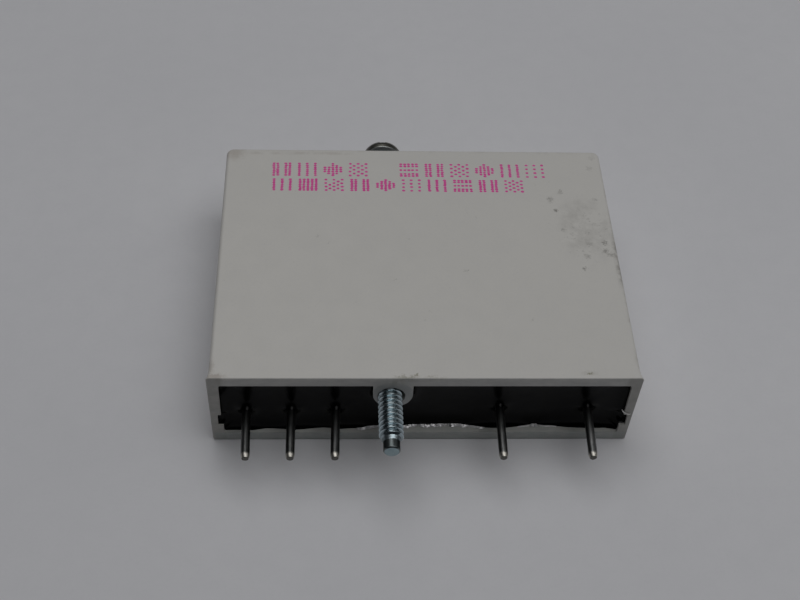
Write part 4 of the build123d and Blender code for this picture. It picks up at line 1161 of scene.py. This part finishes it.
def can():
    m = Mat("capacitor_sleeve_print")
    x, y, z = m.xyz()
    lo, hi = (c * 1000 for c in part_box("filter_capacitor_can"))
    n = m.noise(1.2, 4.0)
    sleeve = m.mix(m.remap(n, 0.3, 0.7), (0.014, 0.022, 0.060, 1), (0.022, 0.032, 0.085, 1))
    stripe = m.remap(m.math("ABSOLUTE", m.math("SUBTRACT", x, lo.x + 0.55)), 0.50, 0.54, 1.0, 0.0)
    dashes = m.remap(m.math("PINGPONG", y, 0.9), 0.35, 0.40)
    c = m.mix(m.mul(stripe, dashes), sleeve, (0.55, 0.56, 0.58, 1))
    end = m.most(m.remap(y, hi.y - 0.10, hi.y - 0.02), 0.0)
    cx, cz = (lo.x + hi.x) / 2, (lo.z + hi.z) / 2
    r = m.math("SQRT", m.add(m.math("POWER", m.math("SUBTRACT", x, cx), 2.0), m.math("POWER", m.math("SUBTRACT", z, cz), 2.0)))
    metal = m.mul(end, m.remap(r, 2.05, 1.98))
    c = m.mix(metal, c, (0.62, 0.62, 0.62, 1))
    m.set("Base Color", c)
    m.set("Metallic", metal)
    m.set("Roughness", m.remap(n, 0.2, 0.8, 0.24, 0.38))
    m.set("Normal", m.bump(m.noise(1.8, 3.0), 0.3, 0.03))
    return m.mat


def ceramic():
    m = Mat("ceramic_disc_coating")
    n = m.noise(1.6, 4.0)
    c = m.mix(m.remap(n, 0.3, 0.7), (0.46, 0.205, 0.050, 1), (0.37, 0.150, 0.036, 1))
    c = m.mix(m.remap(m.noise(6.0, 2.0), 0.60, 0.78, 0.0, 0.5), c, (0.22, 0.085, 0.02, 1))
    m.set("Base Color", c)
    m.set("Roughness", m.remap(n, 0.2, 0.8, 0.30, 0.46))
    m.set("Normal", m.bump(m.noise(2.5, 3.0), 0.5, 0.05))
    return m.mat


def lamp():
    m = Mat("red_lamp_resin")
    n = m.noise(1.4, 3.0)
    c = m.mix(m.remap(n, 0.3, 0.7), (0.52, 0.020, 0.014, 1), (0.38, 0.010, 0.009, 1))
    m.set("Base Color", c)
    m.set("Roughness", m.remap(n, 0.2, 0.8, 0.07, 0.16))
    m.set("IOR", 1.54)
    m.set("Coat Weight", 0.4)
    m.set("Normal", m.bump(m.noise(2.0, 2.0), 0.12, 0.02))
    return m.mat


def nylon():
    m = Mat("natural_nylon")
    n = m.noise(2.0, 4.0)
    c = m.mix(m.remap(n, 0.3, 0.7), (0.70, 0.67, 0.58, 1), (0.60, 0.57, 0.48, 1))
    m.set("Base Color", c)
    m.set("Roughness", m.remap(n, 0.2, 0.8, 0.34, 0.5))
    m.set("Normal", m.bump(m.noise(7.0, 2.0), 0.4, 0.01))
    return m.mat


def paint_inside():
    paint("circuit_board", laminate())
    pkg, tin, sol = epoxy_package(), tinned(), solder_material()
    for n in ("optocoupler_body", "bridge_rectifier_body", "output_transistor_body"):
        paint(n, pkg)
    for n in NODES:
        if n.endswith("_leads"):
            paint(n, tin)
    paint("solder_joints", sol)
    brown, black, red, gold, violet, yellow = (
        (0.085, 0.030, 0.012, 1), (0.012, 0.012, 0.012, 1), (0.42, 0.020, 0.015, 1), (0.42, 0.27, 0.06, 1),
        (0.10, 0.035, 0.22, 1), (0.62, 0.42, 0.03, 1),
    )
    lo, hi = (c * 1000 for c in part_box("input_resistor_body"))
    span = hi.x - lo.x
    paint("input_resistor_body", resistor("flameproof_resistor", (0.33, 0.35, 0.36, 1), (violet, yellow, red, gold),
          [lo.x + span * f for f in (0.17, 0.34, 0.50, 0.82)]))
    lo, hi = (c * 1000 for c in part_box("logic_resistor_bodies"))
    span = hi.x - lo.x
    paint("logic_resistor_bodies", resistor("film_resistor", (0.56, 0.40, 0.22, 1), (brown, black, red, gold),
          [lo.x + span * f for f in (0.15, 0.33, 0.50, 0.84)]))
    paint("zener_diode_body", zener())
    paint("filter_capacitor_can", can())
    paint("disc_capacitor_body", ceramic())
    paint("status_led_lens", lamp())
    paint("screw_retaining_ring", nylon())


# ------------------------------------------------------------------ floor, light and camera
def build_stage():
    half, n = 0.9, 24
    verts = [(-half + 2 * half * i / n, -half + 2 * half * j / n + 0.1, -0.00002) for j in range(n + 1) for i in range(n + 1)]
    faces = [(j * (n + 1) + i, j * (n + 1) + i + 1, (j + 1) * (n + 1) + i + 1, (j + 1) * (n + 1) + i) for j in range(n) for i in range(n)]
    floor = new_object("floor", verts, faces)
    m = Mat("pale_floor")
    n1 = m.noise(0.03, 3.0, 0.5)
    n2 = m.noise(0.35, 4.0, 0.6)
    n3 = m.noise(2.4, 3.0, 0.6)
    c = m.mix(m.remap(n1, 0.3, 0.7), (0.690, 0.690, 0.712, 1), (0.715, 0.714, 0.734, 1))
    c = m.mix(m.remap(n2, 0.40, 0.72, 0.0, 0.30), c, (0.655, 0.655, 0.678, 1))
    c = m.mix(m.remap(n3, 0.50, 0.80, 0.0, 0.16), c, (0.60, 0.60, 0.62, 1))
    m.set("Base Color", c)
    m.set("Roughness", 0.75)
    m.set("Specular IOR Level", 0.25)
    m.set("Normal", m.bump(n3, 0.25, 0.02))
    floor.data.materials.append(m.mat)


def area_light(name, loc, target, size, energy, color):
    d = bpy.data.lights.new(name, "AREA")
    d.shape = "RECTANGLE"
    d.size, d.size_y = size
    d.energy = energy
    d.color = color
    ob = bpy.data.objects.new(name, d)
    bpy.context.scene.collection.objects.link(ob)
    ob.location = loc
    ob.rotation_euler = (Vector(target) - Vector(loc)).to_track_quat("-Z", "Y").to_euler()
    return ob


def build_light():
    area_light("ceiling_panel", (0.06, 0.06, 0.70), (0.0, 0.0, 0.0), (1.00, 0.56), 2.66, (0.99, 0.993, 1.0))
    area_light("right_window", (0.62, 0.16, 0.50), (0.0, 0.0, 0.0), (0.40, 0.40), 0.28, (1.0, 0.998, 0.99))
    w = bpy.data.worlds.new("room")
    bpy.context.scene.world = w
    w.use_nodes = True
    bg = w.node_tree.nodes["Background"]
    bg.inputs[0].default_value = (0.020, 0.021, 0.023, 1)
    bg.inputs[1].default_value = 1.0


def build_camera():
    cam = bpy.data.cameras.new("camera")
    cam.sensor_fit = "HORIZONTAL"
    cam.sensor_width = 36.0
    cam.lens = 1331.3721 * 36.0 / 800.0
    cam.clip_start, cam.clip_end = 0.005, 10.0
    ob = bpy.data.objects.new("camera", cam)
    bpy.context.scene.collection.objects.link(ob)
    az, el, roll = math.radians(-4.7259), math.radians(49.5601), math.radians(3.7953)
    back = Vector((math.sin(az) * math.cos(el), -math.cos(az) * math.cos(el), math.sin(el)))
    target = Vector((-1.7896 * MM, 5.1662 * MM, 0.0))
    xc = Vector((0, 0, 1)).cross(back).normalized()
    yc = back.cross(xc)
    x2 = xc * math.cos(roll) + yc * math.sin(roll)
    y2 = -xc * math.sin(roll) + yc * math.cos(roll)
    mat = Matrix((
        (x2.x, y2.x, back.x, 0), (x2.y, y2.y, back.y, 0), (x2.z, y2.z, back.z, 0), (0, 0, 0, 1),
    ))
    loc = target + back * 170.2218 * MM
    mat.translation = loc
    ob.matrix_world = mat
    bpy.context.scene.camera = ob


# ------------------------------------------------------------------ everything
build_camera()
build_case()
build_potting()
build_flash()
build_curl()
build_screw()
for i, pin in enumerate(PINS):
    build_pin(pin, i + 1)
paint_inside()
build_stage()
build_light()
scene = bpy.context.scene
scene.view_settings.view_transform = "Standard"
scene.view_settings.look = "None"
scene.view_settings.exposure = 0.0
scene.view_settings.gamma = 1.0

bpy.context.view_layer.update()
